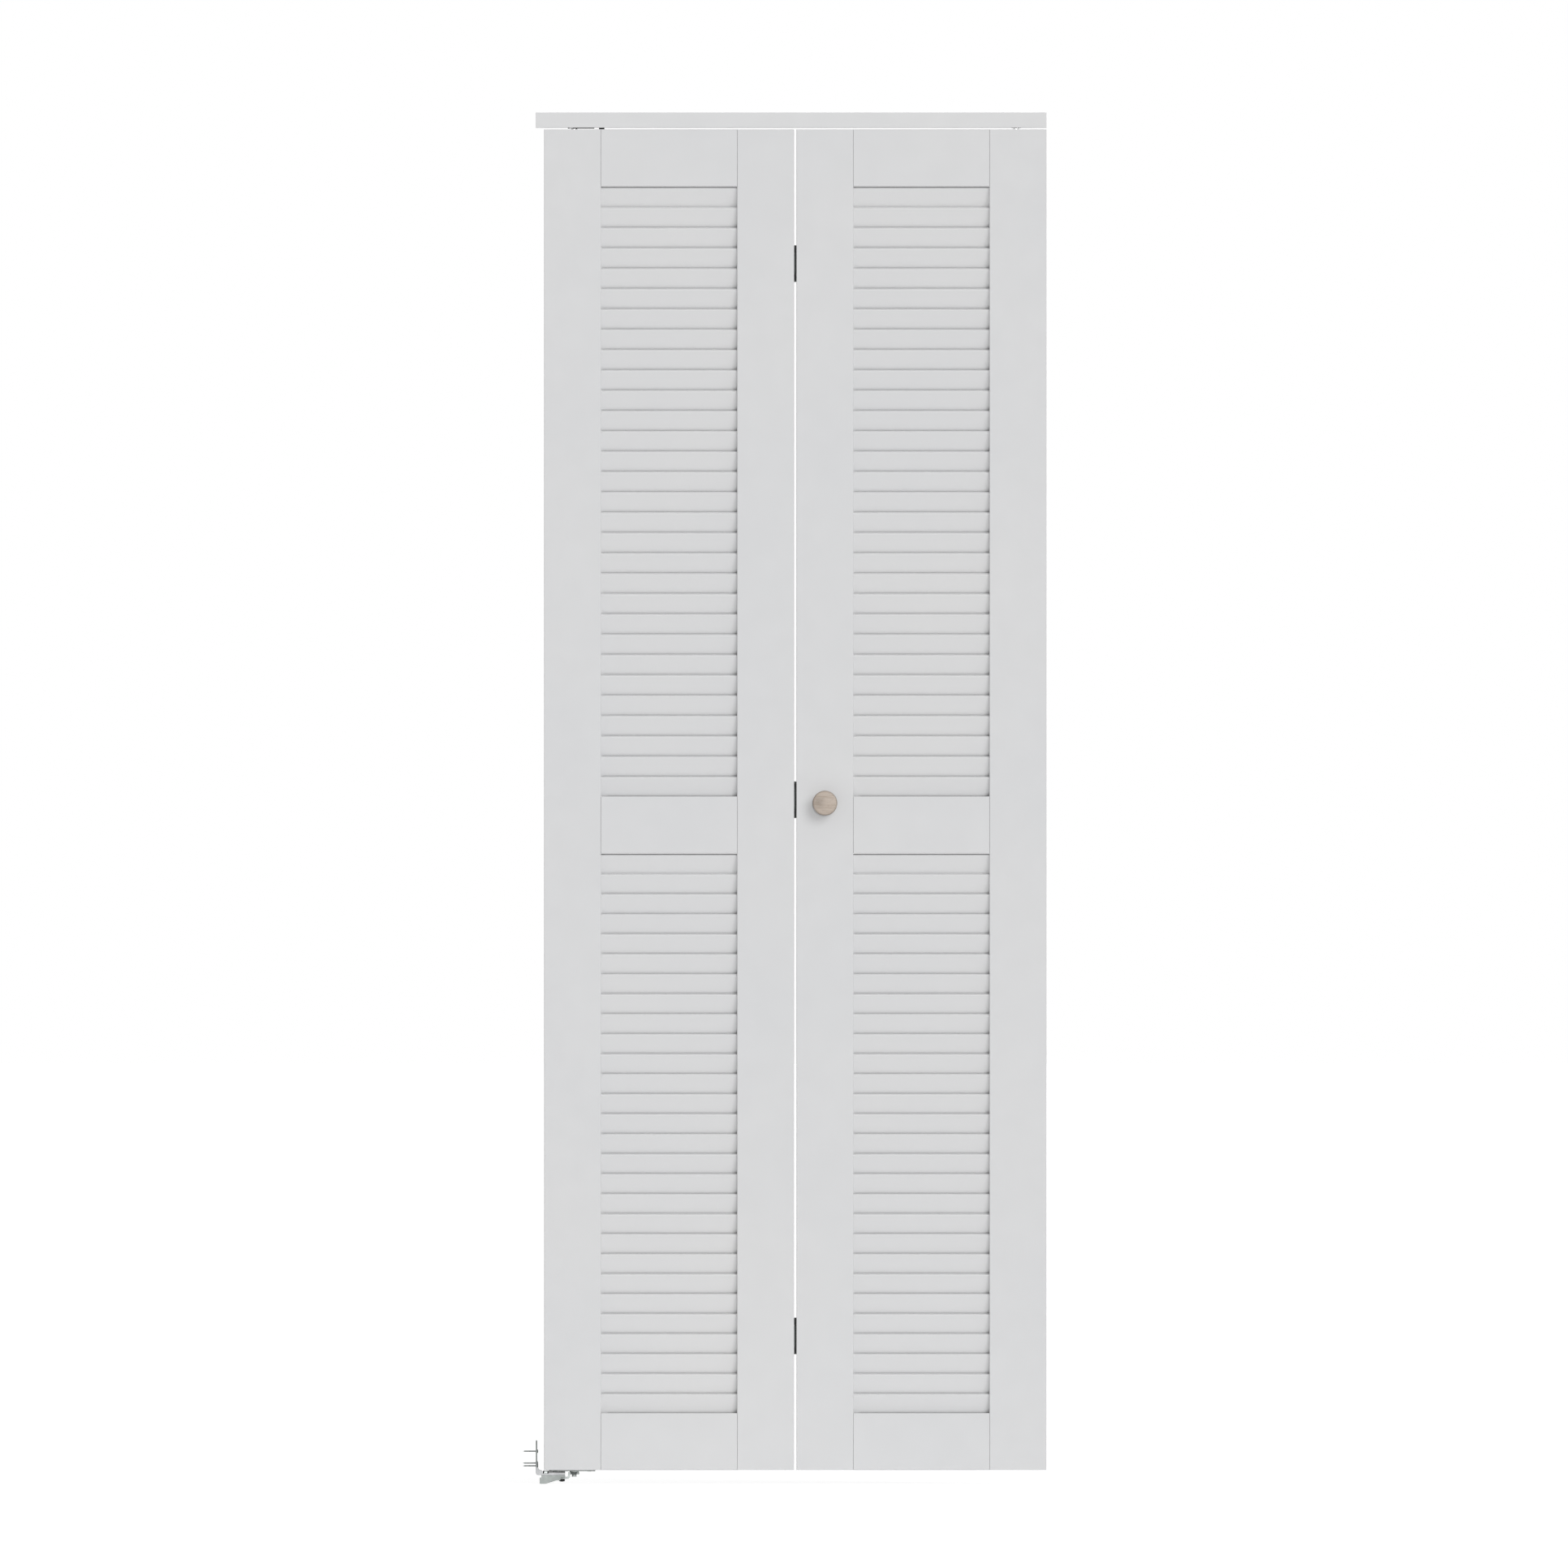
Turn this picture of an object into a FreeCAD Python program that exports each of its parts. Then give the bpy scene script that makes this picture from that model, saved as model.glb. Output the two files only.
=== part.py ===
import FreeCAD, Part
import Sketcher
import math
import os

# A two-panel louvred folding closet door with its head track, pivots, hinges and knob.
# The origin lies on the fixed pivot axis, at the top face of the head track.
# X runs from the pivot jamb to the right, Y from the room into the closet, Z up.

SIZES = {
    # Panels
    "door_height": 2000.0,
    "door_thickness": 28.5,
    "panel_width": 373.0,
    "panel_gap": 3.5,
    "stile_width": 85.0,
    "rail_height": 85.0,
    "mid_rail_level": 920.0,
    "wood_chamfer": 0.8,
    "tenon_wall": 6.0,
    "tenon_thickness": 10.0,
    "tenon_shoulder": 14.0,
    "mortise_clearance": 0.2,
    # Slats, which slope from the front edge down to the back
    "slat_spacing": 30.0,
    "slat_lap": 8.0,
    "slat_thickness": 7.0,
    "slat_angle": 71.0,
    "slat_seat": 0.3,
    "slat_clearance": 0.2,
    "slat_relief": 2.6,
    # Head track
    "track_height": 22.7,
    "track_width": 24.0,
    "track_sheet": 1.2,
    "track_slot": 16.0,
    "track_screw_radius": 2.25,
    "track_screw_inset": 30.0,
    "jamb_clearance": 12.5,
    "door_top_gap": 2.5,
    "pivot_inset": 45.0,
    # Top pivot bracket in the track
    "saddle_thickness": 2.6,
    "saddle_play": 0.3,
    "saddle_left": 14.0,
    "saddle_right": 45.0,
    "boss_drop": 2.4,
    "boss_left": 9.5,
    "boss_right": 30.0,
    "clamp_bar_width": 8.0,
    "clamp_bar_length": 20.0,
    "clamp_bar_height": 2.2,
    # Sprung pins and their sockets
    "pin_radius": 4.75,
    "running_clearance": 0.05,
    "pin_rise": 8.2,
    "pin_length": 30.0,
    "pin_travel": 10.5,
    "socket_play": 1.0,
    "socket_radius": 7.5,
    "socket_floor": 3.0,
    "socket_fit": 0.05,
    # Guide wheel
    "wheel_radius": 7.2,
    "wheel_height": 10.0,
    "wheel_lift": 2.0,
    "wheel_play": 0.2,
    "axle_radius": 2.5,
    "cup_radius": 9.0,
    "cup_bore": 7.6,
    "cup_depth": 11.5,
    # Jamb bracket, levels measured down from the bottom of the door
    "bracket_sheet": 2.5,
    "bracket_bend": 4.0,
    "bracket_width": 32.0,
    "leg_rise": 44.3,
    "shelf_drop": 7.5,
    "gusset_rise": 5.0,
    "gusset_reach": 9.8,
    "gusset_end_drop": 0.8,
    "gusset_knee_reach": 5.0,
    "gusset_knee_rise": 0.7,
    "gusset_sheet": 2.0,
    "rim_start": 19.8,
    "rim_front_drop": 3.6,
    "rim_back_drop": 2.2,
    # Along the bracket, measured from the pivot axis towards the jamb
    "shelf_stop": 13.5,
    "slot_inner": 15.2,
    "slot_outer": 29.5,
    "arm_bolt_reach": 18.2,
    # Jamb screws
    "jamb_screw_radius": 1.2,
    "jamb_screw_length": 22.0,
    "jamb_screw_head": 2.9,
    "jamb_head_height": 1.3,
    "screw_clearance": 0.15,
    "jamb_screw_top": 28.1,
    "jamb_screw_front": 10.5,
    "jamb_screw_back": 6.2,
    "jamb_screw_side": 9.0,
    # Tapered shoe under the bracket
    "shoe_sheet": 2.6,
    "shoe_setback": 8.5,
    "foot_drop": 20.6,
    "foot_step": 2.5,
    "foot_step_drop": 11.4,
    "foot_length": 8.5,
    "taper_run": 17.0,
    "shoe_tip_drop": 15.3,
    "shoe_tip_length": 5.5,
    "shoe_end_drop": 10.9,
    # Cranked arm, its bolt and nut
    "arm_sheet": 3.2,
    "eye_radius": 7.5,
    "arm_rear": 12.0,
    "arm_bend": 5.0,
    "crank_inset": 6.0,
    "bolt_radius": 2.5,
    "bolt_head_radius": 4.75,
    "bolt_head_height": 2.8,
    "nut_radius": 4.3,
    "nut_height": 3.4,
    "bolt_end": 0.5,
    # Bottom pivot
    "plate_thickness": 1.8,
    "plate_width": 20.0,
    "plate_setback": 7.0,
    "plate_right": 31.5,
    "plate_corner": 4.0,
    "pivot_shank_radius": 4.0,
    "pivot_shank_length": 34.0,
    "thrust_radius": 6.75,
    "thrust_height": 1.4,
    "thrust_gap": 0.1,
    "journal_radius": 3.5,
    "journal_drop": 10.0,
    # Nested hinges
    "hinge_end_distance": 200.0,
    "hinge_count": 3.0,
    "hinge_height": 53.0,
    "small_leaf_height": 30.0,
    "leaf_thickness": 2.0,
    "leaf_nest_gap": 0.5,
    "leaf_setback": 2.0,
    "leaf_spine": 4.5,
    "barrel_radius": 3.0,
    "barrel_gap": 0.4,
    "hinge_pin_radius": 1.5,
    "hinge_pin_clearance": 0.04,
    # Knob
    "knob_radius": 18.5,
    "knob_length": 28.0,
    "knob_level": 995.0,
    "knob_neck_radius": 9.0,
    "knob_flare": 19.0,
    "knob_rim_height": 7.3,
    "knob_face_radius": 16.9,
    # What every cut runs past the face it starts from
    "cut_overrun": 2.0,
}

# Places worked out from the sizes, as expressions
LEFT_EDGE = "(-sizes.pivot_inset)"
JAMB_TO_PIVOT = "(sizes.pivot_inset + sizes.jamb_clearance)"
JAMB = f"(-{JAMB_TO_PIVOT})"
DOOR_TOP = "(-sizes.track_height - sizes.door_top_gap)"
DOOR_BOTTOM = "(-sizes.track_height - sizes.door_top_gap - sizes.door_height)"
KNUCKLE_X = "(sizes.panel_width + sizes.panel_gap / 2 - sizes.pivot_inset)"
KNUCKLE_Y = "(sizes.door_thickness / 2 + sizes.barrel_radius + sizes.barrel_gap)"
RIGHT_PANEL_EDGE = "(sizes.panel_width + sizes.panel_gap - sizes.pivot_inset)"
GUIDE_X = f"(2 * {KNUCKLE_X})"
TRACK_LENGTH = "(sizes.jamb_clearance + 2 * sizes.panel_width + sizes.panel_gap)"
TRACK_CENTRE = f"({JAMB} + {TRACK_LENGTH} / 2)"
OPENING_WIDTH = "(sizes.panel_width - 2 * sizes.stile_width)"
UPPER_OPENING = "(sizes.door_height - 2 * sizes.rail_height - sizes.mid_rail_level)"
LOWER_OPENING = "(sizes.mid_rail_level - sizes.rail_height)"
UPPER_COUNT = f"round({UPPER_OPENING} / sizes.slat_spacing)"
LOWER_COUNT = f"round({LOWER_OPENING} / sizes.slat_spacing)"
UPPER_PITCH = f"({UPPER_OPENING} / {UPPER_COUNT})"
LOWER_PITCH = f"({LOWER_OPENING} / {LOWER_COUNT})"
HALF_SLAT = "((sizes.slat_spacing + sizes.slat_lap) / 2)"
# A tenon ends short of the guide's socket, which is the wider of the two
TENON_LENGTH = "(sizes.stile_width - sizes.pivot_inset - sizes.cup_radius - sizes.tenon_wall)"
COSINE = "cos(sizes.slat_angle * 1 deg)"
SINE = "sin(sizes.slat_angle * 1 deg)"
# Height of a slat's top point above its own centre
SLAT_NOSE = f"({HALF_SLAT} * {SINE} + sizes.slat_thickness / 2 * {COSINE})"
SLAT_DROP = f"({SLAT_NOSE} + sizes.slat_seat)"
LEAF_FRONT = "(sizes.leaf_setback - sizes.door_thickness / 2)"
SMALL_LEAF_FRONT = f"({LEAF_FRONT} + sizes.leaf_spine + sizes.leaf_nest_gap)"
HINGE_STEP = "((sizes.door_height - 2 * sizes.hinge_end_distance) / (sizes.hinge_count - 1))"
SHELF_TOP = "(sizes.bracket_sheet - sizes.shelf_drop)"
SHOE_TOP = "(-sizes.shelf_drop)"
SHOE_UNDERSIDE = "(-sizes.shelf_drop - sizes.shoe_sheet)"
SHELF_REACH = f"({JAMB_TO_PIVOT} - sizes.shelf_stop)"
SLOT_FROM = f"({JAMB_TO_PIVOT} - sizes.slot_outer)"
SLOT_TO = f"({JAMB_TO_PIVOT} - sizes.slot_inner)"
LIP_TOP = "(sizes.track_sheet - sizes.track_height)"
EYE_TOP = "(-sizes.plate_thickness - sizes.thrust_height - sizes.thrust_gap)"
EYE_UNDERSIDE = f"({EYE_TOP} - sizes.arm_sheet)"
PIN_HOLE_RADIUS = "(sizes.pin_radius + sizes.running_clearance)"

doc = FreeCAD.newDocument("LouvredDoor")
sheet = doc.addObject("Spreadsheet::Sheet", "sizes")
for row, (size_name, size_value) in enumerate(SIZES.items(), start=1):
    sheet.set("A%d" % row, size_name)
    sheet.set("B%d" % row, repr(size_value))
    sheet.setAlias("B%d" % row, size_name)
doc.recompute()

# How each origin plane's sketch normal points along the plane's own axis
NORMALS = {"XY_Plane": 1, "XZ_Plane": -1, "YZ_Plane": 1}
bodies = []


def origin_plane(body, role):
    """The body's own origin plane of that role."""
    return [feature for feature in body.Origin.OriginFeatures if feature.Role == role][0]


def new_body(name, x="0", y="0", z="0", many=False):
    """An empty sub-part placed by expressions; many allows separate alike solids."""
    body = doc.addObject("PartDesign::Body", name)
    body.Label = name
    body.AllowCompound = many
    for axis, place in (("x", x), ("y", y), ("z", z)):
        body.setExpression(".Placement.Base." + axis, place)
    bodies.append(body)
    return body


def sketch_on(body, role, at="0", across="0", up="0"):
    """A sketch on an origin plane, moved along the plane's axis and within the plane."""
    sketch = body.newObject("Sketcher::SketchObject", body.Name + "_sketch")
    sketch.AttachmentSupport = [(origin_plane(body, role), "")]
    sketch.MapMode = "FlatFace"
    sketch.setExpression(".AttachmentOffset.Base.x", across)
    sketch.setExpression(".AttachmentOffset.Base.y", up)
    sketch.setExpression(".AttachmentOffset.Base.z", f"{NORMALS[role]} * ({at})")
    return sketch


def present_value(sketch, text):
    """What an expression is worth now, so that curves are drawn where they end up."""
    return float(sketch.evalExpression(text))


def bind(sketch, kind, places, text):
    """A dimension that follows an expression."""
    value = present_value(sketch, text)
    index = sketch.addConstraint(Sketcher.Constraint(kind, *places, value))
    name = "%s_%d" % (kind, index)
    sketch.renameConstraint(index, name)
    sketch.setExpression("Constraints." + name, text)


def arc_between(start, end, radius, turn):
    """The shorter arc between two points; turn is 1 for anticlockwise and -1 for clockwise."""
    chord = end - start
    middle = (start + end) / 2
    left = FreeCAD.Vector(-chord.y, chord.x, 0).normalize()
    rise = math.sqrt(max(radius ** 2 - (chord.Length / 2) ** 2, 0))
    centre = middle + left * rise * turn
    first, last = (start, end) if turn > 0 else (end, start)
    from_angle = math.atan2(first.y - centre.y, first.x - centre.x)
    to_angle = math.atan2(last.y - centre.y, last.x - centre.x)
    circle_line = Part.Circle(centre, FreeCAD.Vector(0, 0, 1), radius)
    return Part.ArcOfCircle(circle_line, from_angle, to_angle)


def outline(sketch, points):
    """A closed outline. A point is (x, y), or (x, y, radius, turn) where an arc leads to it."""
    spots = [FreeCAD.Vector(present_value(sketch, point[0]), present_value(sketch, point[1]), 0)
             for point in points]
    ends = []
    for order, point in enumerate(points):
        start = spots[order - 1]
        if len(point) > 2:
            radius, turn = point[2], point[3]
            curve = arc_between(start, spots[order], present_value(sketch, radius), turn)
            index = sketch.addGeometry(curve, False)
            ends.append((index, 1, 2) if turn > 0 else (index, 2, 1))
        else:
            index = sketch.addGeometry(Part.LineSegment(start, spots[order]), False)
            ends.append((index, 1, 2))
    for order, (index, _, last) in enumerate(ends):
        following, first, _ = ends[(order + 1) % len(ends)]
        sketch.addConstraint(Sketcher.Constraint("Coincident", index, last, following, first))
    for point, (index, _, last) in zip(points, ends):
        bind(sketch, "DistanceX", (-1, 1, index, last), point[0])
        bind(sketch, "DistanceY", (-1, 1, index, last), point[1])
        if len(point) > 2:
            bind(sketch, "Radius", (index,), point[2])


def circle(sketch, across, up, radius):
    """A circle whose centre and radius follow expressions."""
    centre = FreeCAD.Vector(present_value(sketch, across), present_value(sketch, up), 0)
    line = Part.Circle(centre, FreeCAD.Vector(0, 0, 1), present_value(sketch, radius))
    index = sketch.addGeometry(line, False)
    bind(sketch, "Radius", (index,), radius)
    bind(sketch, "DistanceX", (-1, 1, index, 3), across)
    bind(sketch, "DistanceY", (-1, 1, index, 3), up)


def rectangle(left, right, low, high):
    """Four corners of an upright rectangle."""
    return [(left, low), (right, low), (right, high), (left, high)]


def eased_rectangle(half_across, half_up, ease, middle_up="0"):
    """A rectangle about the middle with its four corners cut off."""
    short_across = f"{half_across} - {ease}"
    short_up = f"{half_up} - {ease}"
    signs = (
        (half_across, -1, short_up, -1),
        (half_across, -1, short_up, 1),
        (short_across, -1, half_up, 1),
        (short_across, 1, half_up, 1),
        (half_across, 1, short_up, 1),
        (half_across, 1, short_up, -1),
        (short_across, 1, half_up, -1),
        (short_across, -1, half_up, -1),
    )
    return [(f"{side} * ({across})", f"{rise} * ({up}) + {middle_up}")
            for across, side, up, rise in signs]


def hexagon(radius):
    """Six corners about the middle, the first one on the right."""
    across = f"({radius} / 2)"
    up = f"({radius} * sin(60 deg))"
    return [
        (radius, "0"),
        (across, up),
        (f"-{across}", up),
        (f"-{radius}", "0"),
        (f"-{across}", f"-{up}"),
        (across, f"-{up}"),
    ]


def pad(body, sketch, length, toward=0):
    """Adds the sketch's extrusion: toward 1 or -1 along the plane's axis, or 0 both ways."""
    feature = body.newObject("PartDesign::Pad", body.Name + "_pad")
    feature.Profile = sketch
    feature.setExpression("Length", length)
    feature.Midplane = toward == 0
    plane = sketch.AttachmentSupport[0][0]
    feature.Reversed = toward * NORMALS[plane.Role] < 0
    return feature


def pocket(body, sketch, length, toward=0):
    """Takes the sketch's extrusion away, and makes sure that it takes something."""
    doc.recompute()
    volume_before = body.Shape.Volume
    feature = body.newObject("PartDesign::Pocket", body.Name + "_pocket")
    feature.Profile = sketch
    feature.setExpression("Length", length)
    feature.Midplane = toward == 0
    plane = sketch.AttachmentSupport[0][0]
    feature.Reversed = toward * NORMALS[plane.Role] > 0
    doc.recompute()
    if body.Shape.Volume >= volume_before:
        raise ValueError("a pocket took nothing away from " + body.Label)
    return feature


def turn_solid(body, sketch):
    """Adds the solid that the sketch makes when it is turned about its own upright axis."""
    feature = body.newObject("PartDesign::Revolution", body.Name + "_turned")
    feature.Profile = sketch
    feature.ReferenceAxis = (sketch, ["V_Axis"])


def repeat(body, feature, step, count, back=False):
    """Repeats a feature upwards, or downwards with back."""
    pattern = body.newObject("PartDesign::LinearPattern", body.Name + "_rows")
    pattern.Originals = [feature]
    pattern.Direction = (origin_plane(body, "XY_Plane"), [""])
    pattern.Mode = "Spacing"
    pattern.setExpression("Offset", step)
    pattern.setExpression("Occurrences", count)
    pattern.Reversed = back
    body.Tip = pattern
    return pattern


def repeat_whole(body, step, count):
    """Repeats all that the body holds so far, upwards."""
    pattern = repeat(body, body.Tip, step, count)
    pattern.TransformMode = "Whole shape"


def drill(body, role, across, up, radius, at, length, toward):
    """A round hole from a plane, along that plane's axis."""
    sketch = sketch_on(body, role, at=at)
    circle(sketch, across, up, radius)
    return pocket(body, sketch, length, toward)


def slat_section(extra="0", front_extra="0"):
    """A slat's section in the YZ plane about its own centre, front edge up and back edge down."""
    width = f"({HALF_SLAT} + {extra})"
    back = f"(sizes.slat_thickness / 2 + {extra})"
    front = f"(sizes.slat_thickness / 2 + {front_extra})"
    corners = rectangle("-" + width, width, "-" + front, back)
    return [(f"{along} * {COSINE} + {out} * {SINE}", f"{out} * {COSINE} - {along} * {SINE}")
            for along, out in corners]


def stile(name, centre, inner):
    """An upright of a panel, with three mortises on its inner side, 1 for right and -1 for left."""
    body = new_body(name, x=centre, z=DOOR_BOTTOM)
    plan = sketch_on(body, "XY_Plane")
    outline(plan, eased_rectangle("sizes.stile_width / 2", "sizes.door_thickness / 2", "sizes.wood_chamfer"))
    pad(body, plan, "sizes.door_height", 1)
    half_mortise = "(sizes.tenon_thickness / 2 + sizes.mortise_clearance)"
    for level in ("0", "sizes.mid_rail_level", "(sizes.door_height - sizes.rail_height)"):
        mouth = sketch_on(
            body, "YZ_Plane",
            at=f"{inner} * (sizes.stile_width / 2 - {TENON_LENGTH} - sizes.mortise_clearance)")
        outline(mouth, rectangle(
            "-" + half_mortise, half_mortise,
            f"{level} + sizes.tenon_shoulder - sizes.mortise_clearance",
            f"{level} + sizes.rail_height - sizes.tenon_shoulder + sizes.mortise_clearance"))
        pocket(body, mouth, f"{TENON_LENGTH} + sizes.mortise_clearance + sizes.cut_overrun", inner)
    return body


def rail(name, centre, level, slat_pitch=None):
    """A crosspiece with a tenon at both ends; its top edge is ploughed wide for the slat above it."""
    body = new_body(name, x=centre, z=f"{DOOR_BOTTOM} + {level}")
    end = sketch_on(body, "YZ_Plane")
    outline(end, eased_rectangle(
        "sizes.door_thickness / 2", "sizes.rail_height / 2", "sizes.wood_chamfer",
        "sizes.rail_height / 2"))
    pad(body, end, OPENING_WIDTH)
    tenon = sketch_on(body, "YZ_Plane")
    outline(tenon, rectangle(
        "-sizes.tenon_thickness / 2", "sizes.tenon_thickness / 2",
        "sizes.tenon_shoulder", "sizes.rail_height - sizes.tenon_shoulder"))
    pad(body, tenon, f"{OPENING_WIDTH} + 2 * {TENON_LENGTH}")
    if slat_pitch:
        section = sketch_on(body, "YZ_Plane", up=f"sizes.rail_height + {slat_pitch} - {SLAT_DROP}")
        outline(section, slat_section(extra="sizes.slat_clearance", front_extra="sizes.slat_relief"))
        pocket(body, section, f"{OPENING_WIDTH} + 2 * sizes.cut_overrun")
    return body


def slats(name, centre, opening_top, pitch, count):
    """A stack of slats that butt against both stiles, the lowest let into the rail below."""
    body = new_body(name, x=centre, z=f"{DOOR_BOTTOM} + {opening_top} - {SLAT_DROP}", many=True)
    section = sketch_on(body, "YZ_Plane")
    outline(section, slat_section())
    slat = pad(body, section, OPENING_WIDTH)
    repeat(body, slat, pitch, count, back=True)


def panel(side, left_edge, outer_name):
    """One panel: two stiles, three rails and two stacks of slats."""
    left_centre = f"({left_edge} + sizes.stile_width / 2)"
    right_centre = f"({left_edge} + sizes.panel_width - sizes.stile_width / 2)"
    centre = f"({left_edge} + sizes.panel_width / 2)"
    names = (outer_name, "hinge_stile") if side == "left" else ("hinge_stile", outer_name)
    left_stile = stile(f"{side}_{names[0]}", left_centre, 1)
    right_stile = stile(f"{side}_{names[1]}", right_centre, -1)
    top_level = "(sizes.door_height - sizes.rail_height)"
    rail(side + "_top_rail", centre, top_level)
    rail(side + "_mid_rail", centre, "sizes.mid_rail_level", UPPER_PITCH)
    rail(side + "_bottom_rail", centre, "0", LOWER_PITCH)
    slats(side + "_upper_slats", centre, top_level, UPPER_PITCH, UPPER_COUNT)
    slats(side + "_lower_slats", centre, "sizes.mid_rail_level", LOWER_PITCH, LOWER_COUNT)
    return left_stile, right_stile


def head_track():
    """A channel with two inward lips, open below, and two screw holes in its web."""
    body = new_body("head_track", x=TRACK_CENTRE)
    half = "sizes.track_width / 2"
    half_inside = "(sizes.track_width / 2 - sizes.track_sheet)"
    half_slot = "sizes.track_slot / 2"
    section = sketch_on(body, "YZ_Plane")
    outline(section, [
        (f"-{half}", "0"),
        (f"-{half}", "-sizes.track_height"),
        (f"-{half_slot}", "-sizes.track_height"),
        (f"-{half_slot}", LIP_TOP),
        (f"-{half_inside}", LIP_TOP),
        (f"-{half_inside}", "-sizes.track_sheet"),
        (half_inside, "-sizes.track_sheet"),
        (half_inside, LIP_TOP),
        (half_slot, LIP_TOP),
        (half_slot, "-sizes.track_height"),
        (half, "-sizes.track_height"),
        (half, "0"),
    ])
    pad(body, section, TRACK_LENGTH)
    for side in ("", "-"):
        drill(body, "XY_Plane", f"{side}({TRACK_LENGTH} / 2 - sizes.track_screw_inset)", "0",
              "sizes.track_screw_radius", "-2 * sizes.track_sheet", "3 * sizes.track_sheet", 1)


def top_bracket():
    """The saddle that rests on the track's lips and holds the top pivot pin, with its clamp bar."""
    saddle = new_body("top_pivot_bracket")
    plate = sketch_on(saddle, "XY_Plane", at=LIP_TOP)
    half_width = "(sizes.track_width / 2 - sizes.track_sheet - sizes.saddle_play)"
    outline(plate, rectangle("-sizes.saddle_left", "sizes.saddle_right", "-" + half_width, half_width))
    pad(saddle, plate, "sizes.saddle_thickness", 1)
    boss = sketch_on(saddle, "XY_Plane", at=LIP_TOP)
    half_boss = "(sizes.track_slot / 2 - sizes.saddle_play)"
    outline(boss, rectangle("-sizes.boss_left", "sizes.boss_right", "-" + half_boss, half_boss))
    pad(saddle, boss, "sizes.boss_drop", -1)
    drill(saddle, "XY_Plane", "0", "0", PIN_HOLE_RADIUS, f"{LIP_TOP} - sizes.boss_drop - sizes.cut_overrun",
          "sizes.boss_drop + sizes.saddle_thickness + 2 * sizes.cut_overrun", 1)

    bar = new_body("top_clamp_bar", z="-sizes.track_height")
    half_bar = "sizes.clamp_bar_length / 2"
    block = sketch_on(bar, "XY_Plane")
    outline(block, rectangle(
        "sizes.saddle_right - sizes.clamp_bar_width", "sizes.saddle_right", "-" + half_bar, half_bar))
    pad(bar, block, "sizes.clamp_bar_height", -1)
    post = sketch_on(bar, "XY_Plane")
    outline(post, rectangle(
        "sizes.saddle_right - sizes.clamp_bar_width", "sizes.saddle_right", "-" + half_boss, half_boss))
    pad(bar, post, "sizes.track_sheet", 1)


def jamb_bracket():
    """The bent bracket on the jamb, with two gussets, two raised rims, a slot and three screw holes."""
    body = new_body("jamb_bracket", x=JAMB, z=DOOR_BOTTOM)
    side = sketch_on(body, "XZ_Plane")
    inner_bend = "(sizes.bracket_bend - sizes.bracket_sheet)"
    outline(side, [
        ("0", "sizes.leg_rise"),
        ("0", "sizes.bracket_bend - sizes.shelf_drop"),
        ("sizes.bracket_bend", "-sizes.shelf_drop", "sizes.bracket_bend", 1),
        (SHELF_REACH, "-sizes.shelf_drop"),
        (SHELF_REACH, SHELF_TOP),
        (f"sizes.bracket_sheet + {inner_bend}", SHELF_TOP),
        ("sizes.bracket_sheet", f"{SHELF_TOP} + {inner_bend}", inner_bend, -1),
        ("sizes.bracket_sheet", "sizes.leg_rise"),
    ])
    pad(body, side, "sizes.bracket_width")
    for edge, rim_drop in ((1, "sizes.rim_back_drop"), (-1, "sizes.rim_front_drop")):
        gusset = sketch_on(body, "XZ_Plane", at=f"{edge} * sizes.bracket_width / 2")
        outline(gusset, [
            ("sizes.bracket_sheet", SHELF_TOP),
            ("sizes.gusset_reach", SHELF_TOP),
            ("sizes.gusset_reach", "-sizes.gusset_end_drop"),
            ("sizes.gusset_knee_reach", "sizes.gusset_knee_rise"),
            ("sizes.bracket_sheet", "sizes.gusset_rise"),
        ])
        pad(body, gusset, "sizes.gusset_sheet", -edge)
        rim = sketch_on(body, "XZ_Plane", at=f"{edge} * sizes.bracket_width / 2")
        outline(rim, rectangle("sizes.rim_start", SHELF_REACH, SHELF_TOP, "-" + rim_drop))
        pad(body, rim, "sizes.gusset_sheet", -edge)
    slot = sketch_on(body, "XY_Plane", at="-sizes.shelf_drop - sizes.cut_overrun")
    slot_outline(slot)
    pocket(body, slot, "sizes.bracket_sheet + 2 * sizes.cut_overrun", 1)
    for across, up in jamb_screw_places():
        drill(body, "YZ_Plane", across, up, "sizes.jamb_screw_radius + sizes.screw_clearance",
              "-sizes.cut_overrun", "sizes.bracket_sheet + 2 * sizes.cut_overrun", 1)


def slot_outline(sketch):
    """The slot that the arm's bolt passes through, in the bracket's shelf and in the shoe."""
    half = "(sizes.bolt_radius + sizes.screw_clearance)"
    outline(sketch, [
        (f"{SLOT_FROM} + {half}", half),
        (SLOT_FROM, "0", half, 1),
        (f"{SLOT_FROM} + {half}", "-" + half, half, 1),
        (f"{SLOT_TO} - {half}", "-" + half),
        (SLOT_TO, "0", half, 1),
        (f"{SLOT_TO} - {half}", half, half, 1),
    ])


def jamb_screw_places():
    """Across and up from the bracket's own origin for each jamb screw."""
    return (
        ("0", "sizes.jamb_screw_top"),
        ("-sizes.jamb_screw_side", "sizes.jamb_screw_front"),
        ("sizes.jamb_screw_side", "sizes.jamb_screw_back"),
    )


def jamb_screws():
    """Three screws whose hexagon heads lie on the bracket's leg and whose shanks go into the jamb."""
    body = new_body("jamb_screws", x=JAMB, z=DOOR_BOTTOM, many=True)
    for across, up in jamb_screw_places():
        head = sketch_on(body, "YZ_Plane", at="sizes.bracket_sheet", across=across, up=up)
        outline(head, hexagon("sizes.jamb_screw_head"))
        pad(body, head, "sizes.jamb_head_height", 1)
        shank = sketch_on(body, "YZ_Plane", at="sizes.bracket_sheet", across=across, up=up)
        circle(shank, "0", "0", "sizes.jamb_screw_radius")
        pad(body, shank, "sizes.jamb_screw_length", -1)


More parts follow.
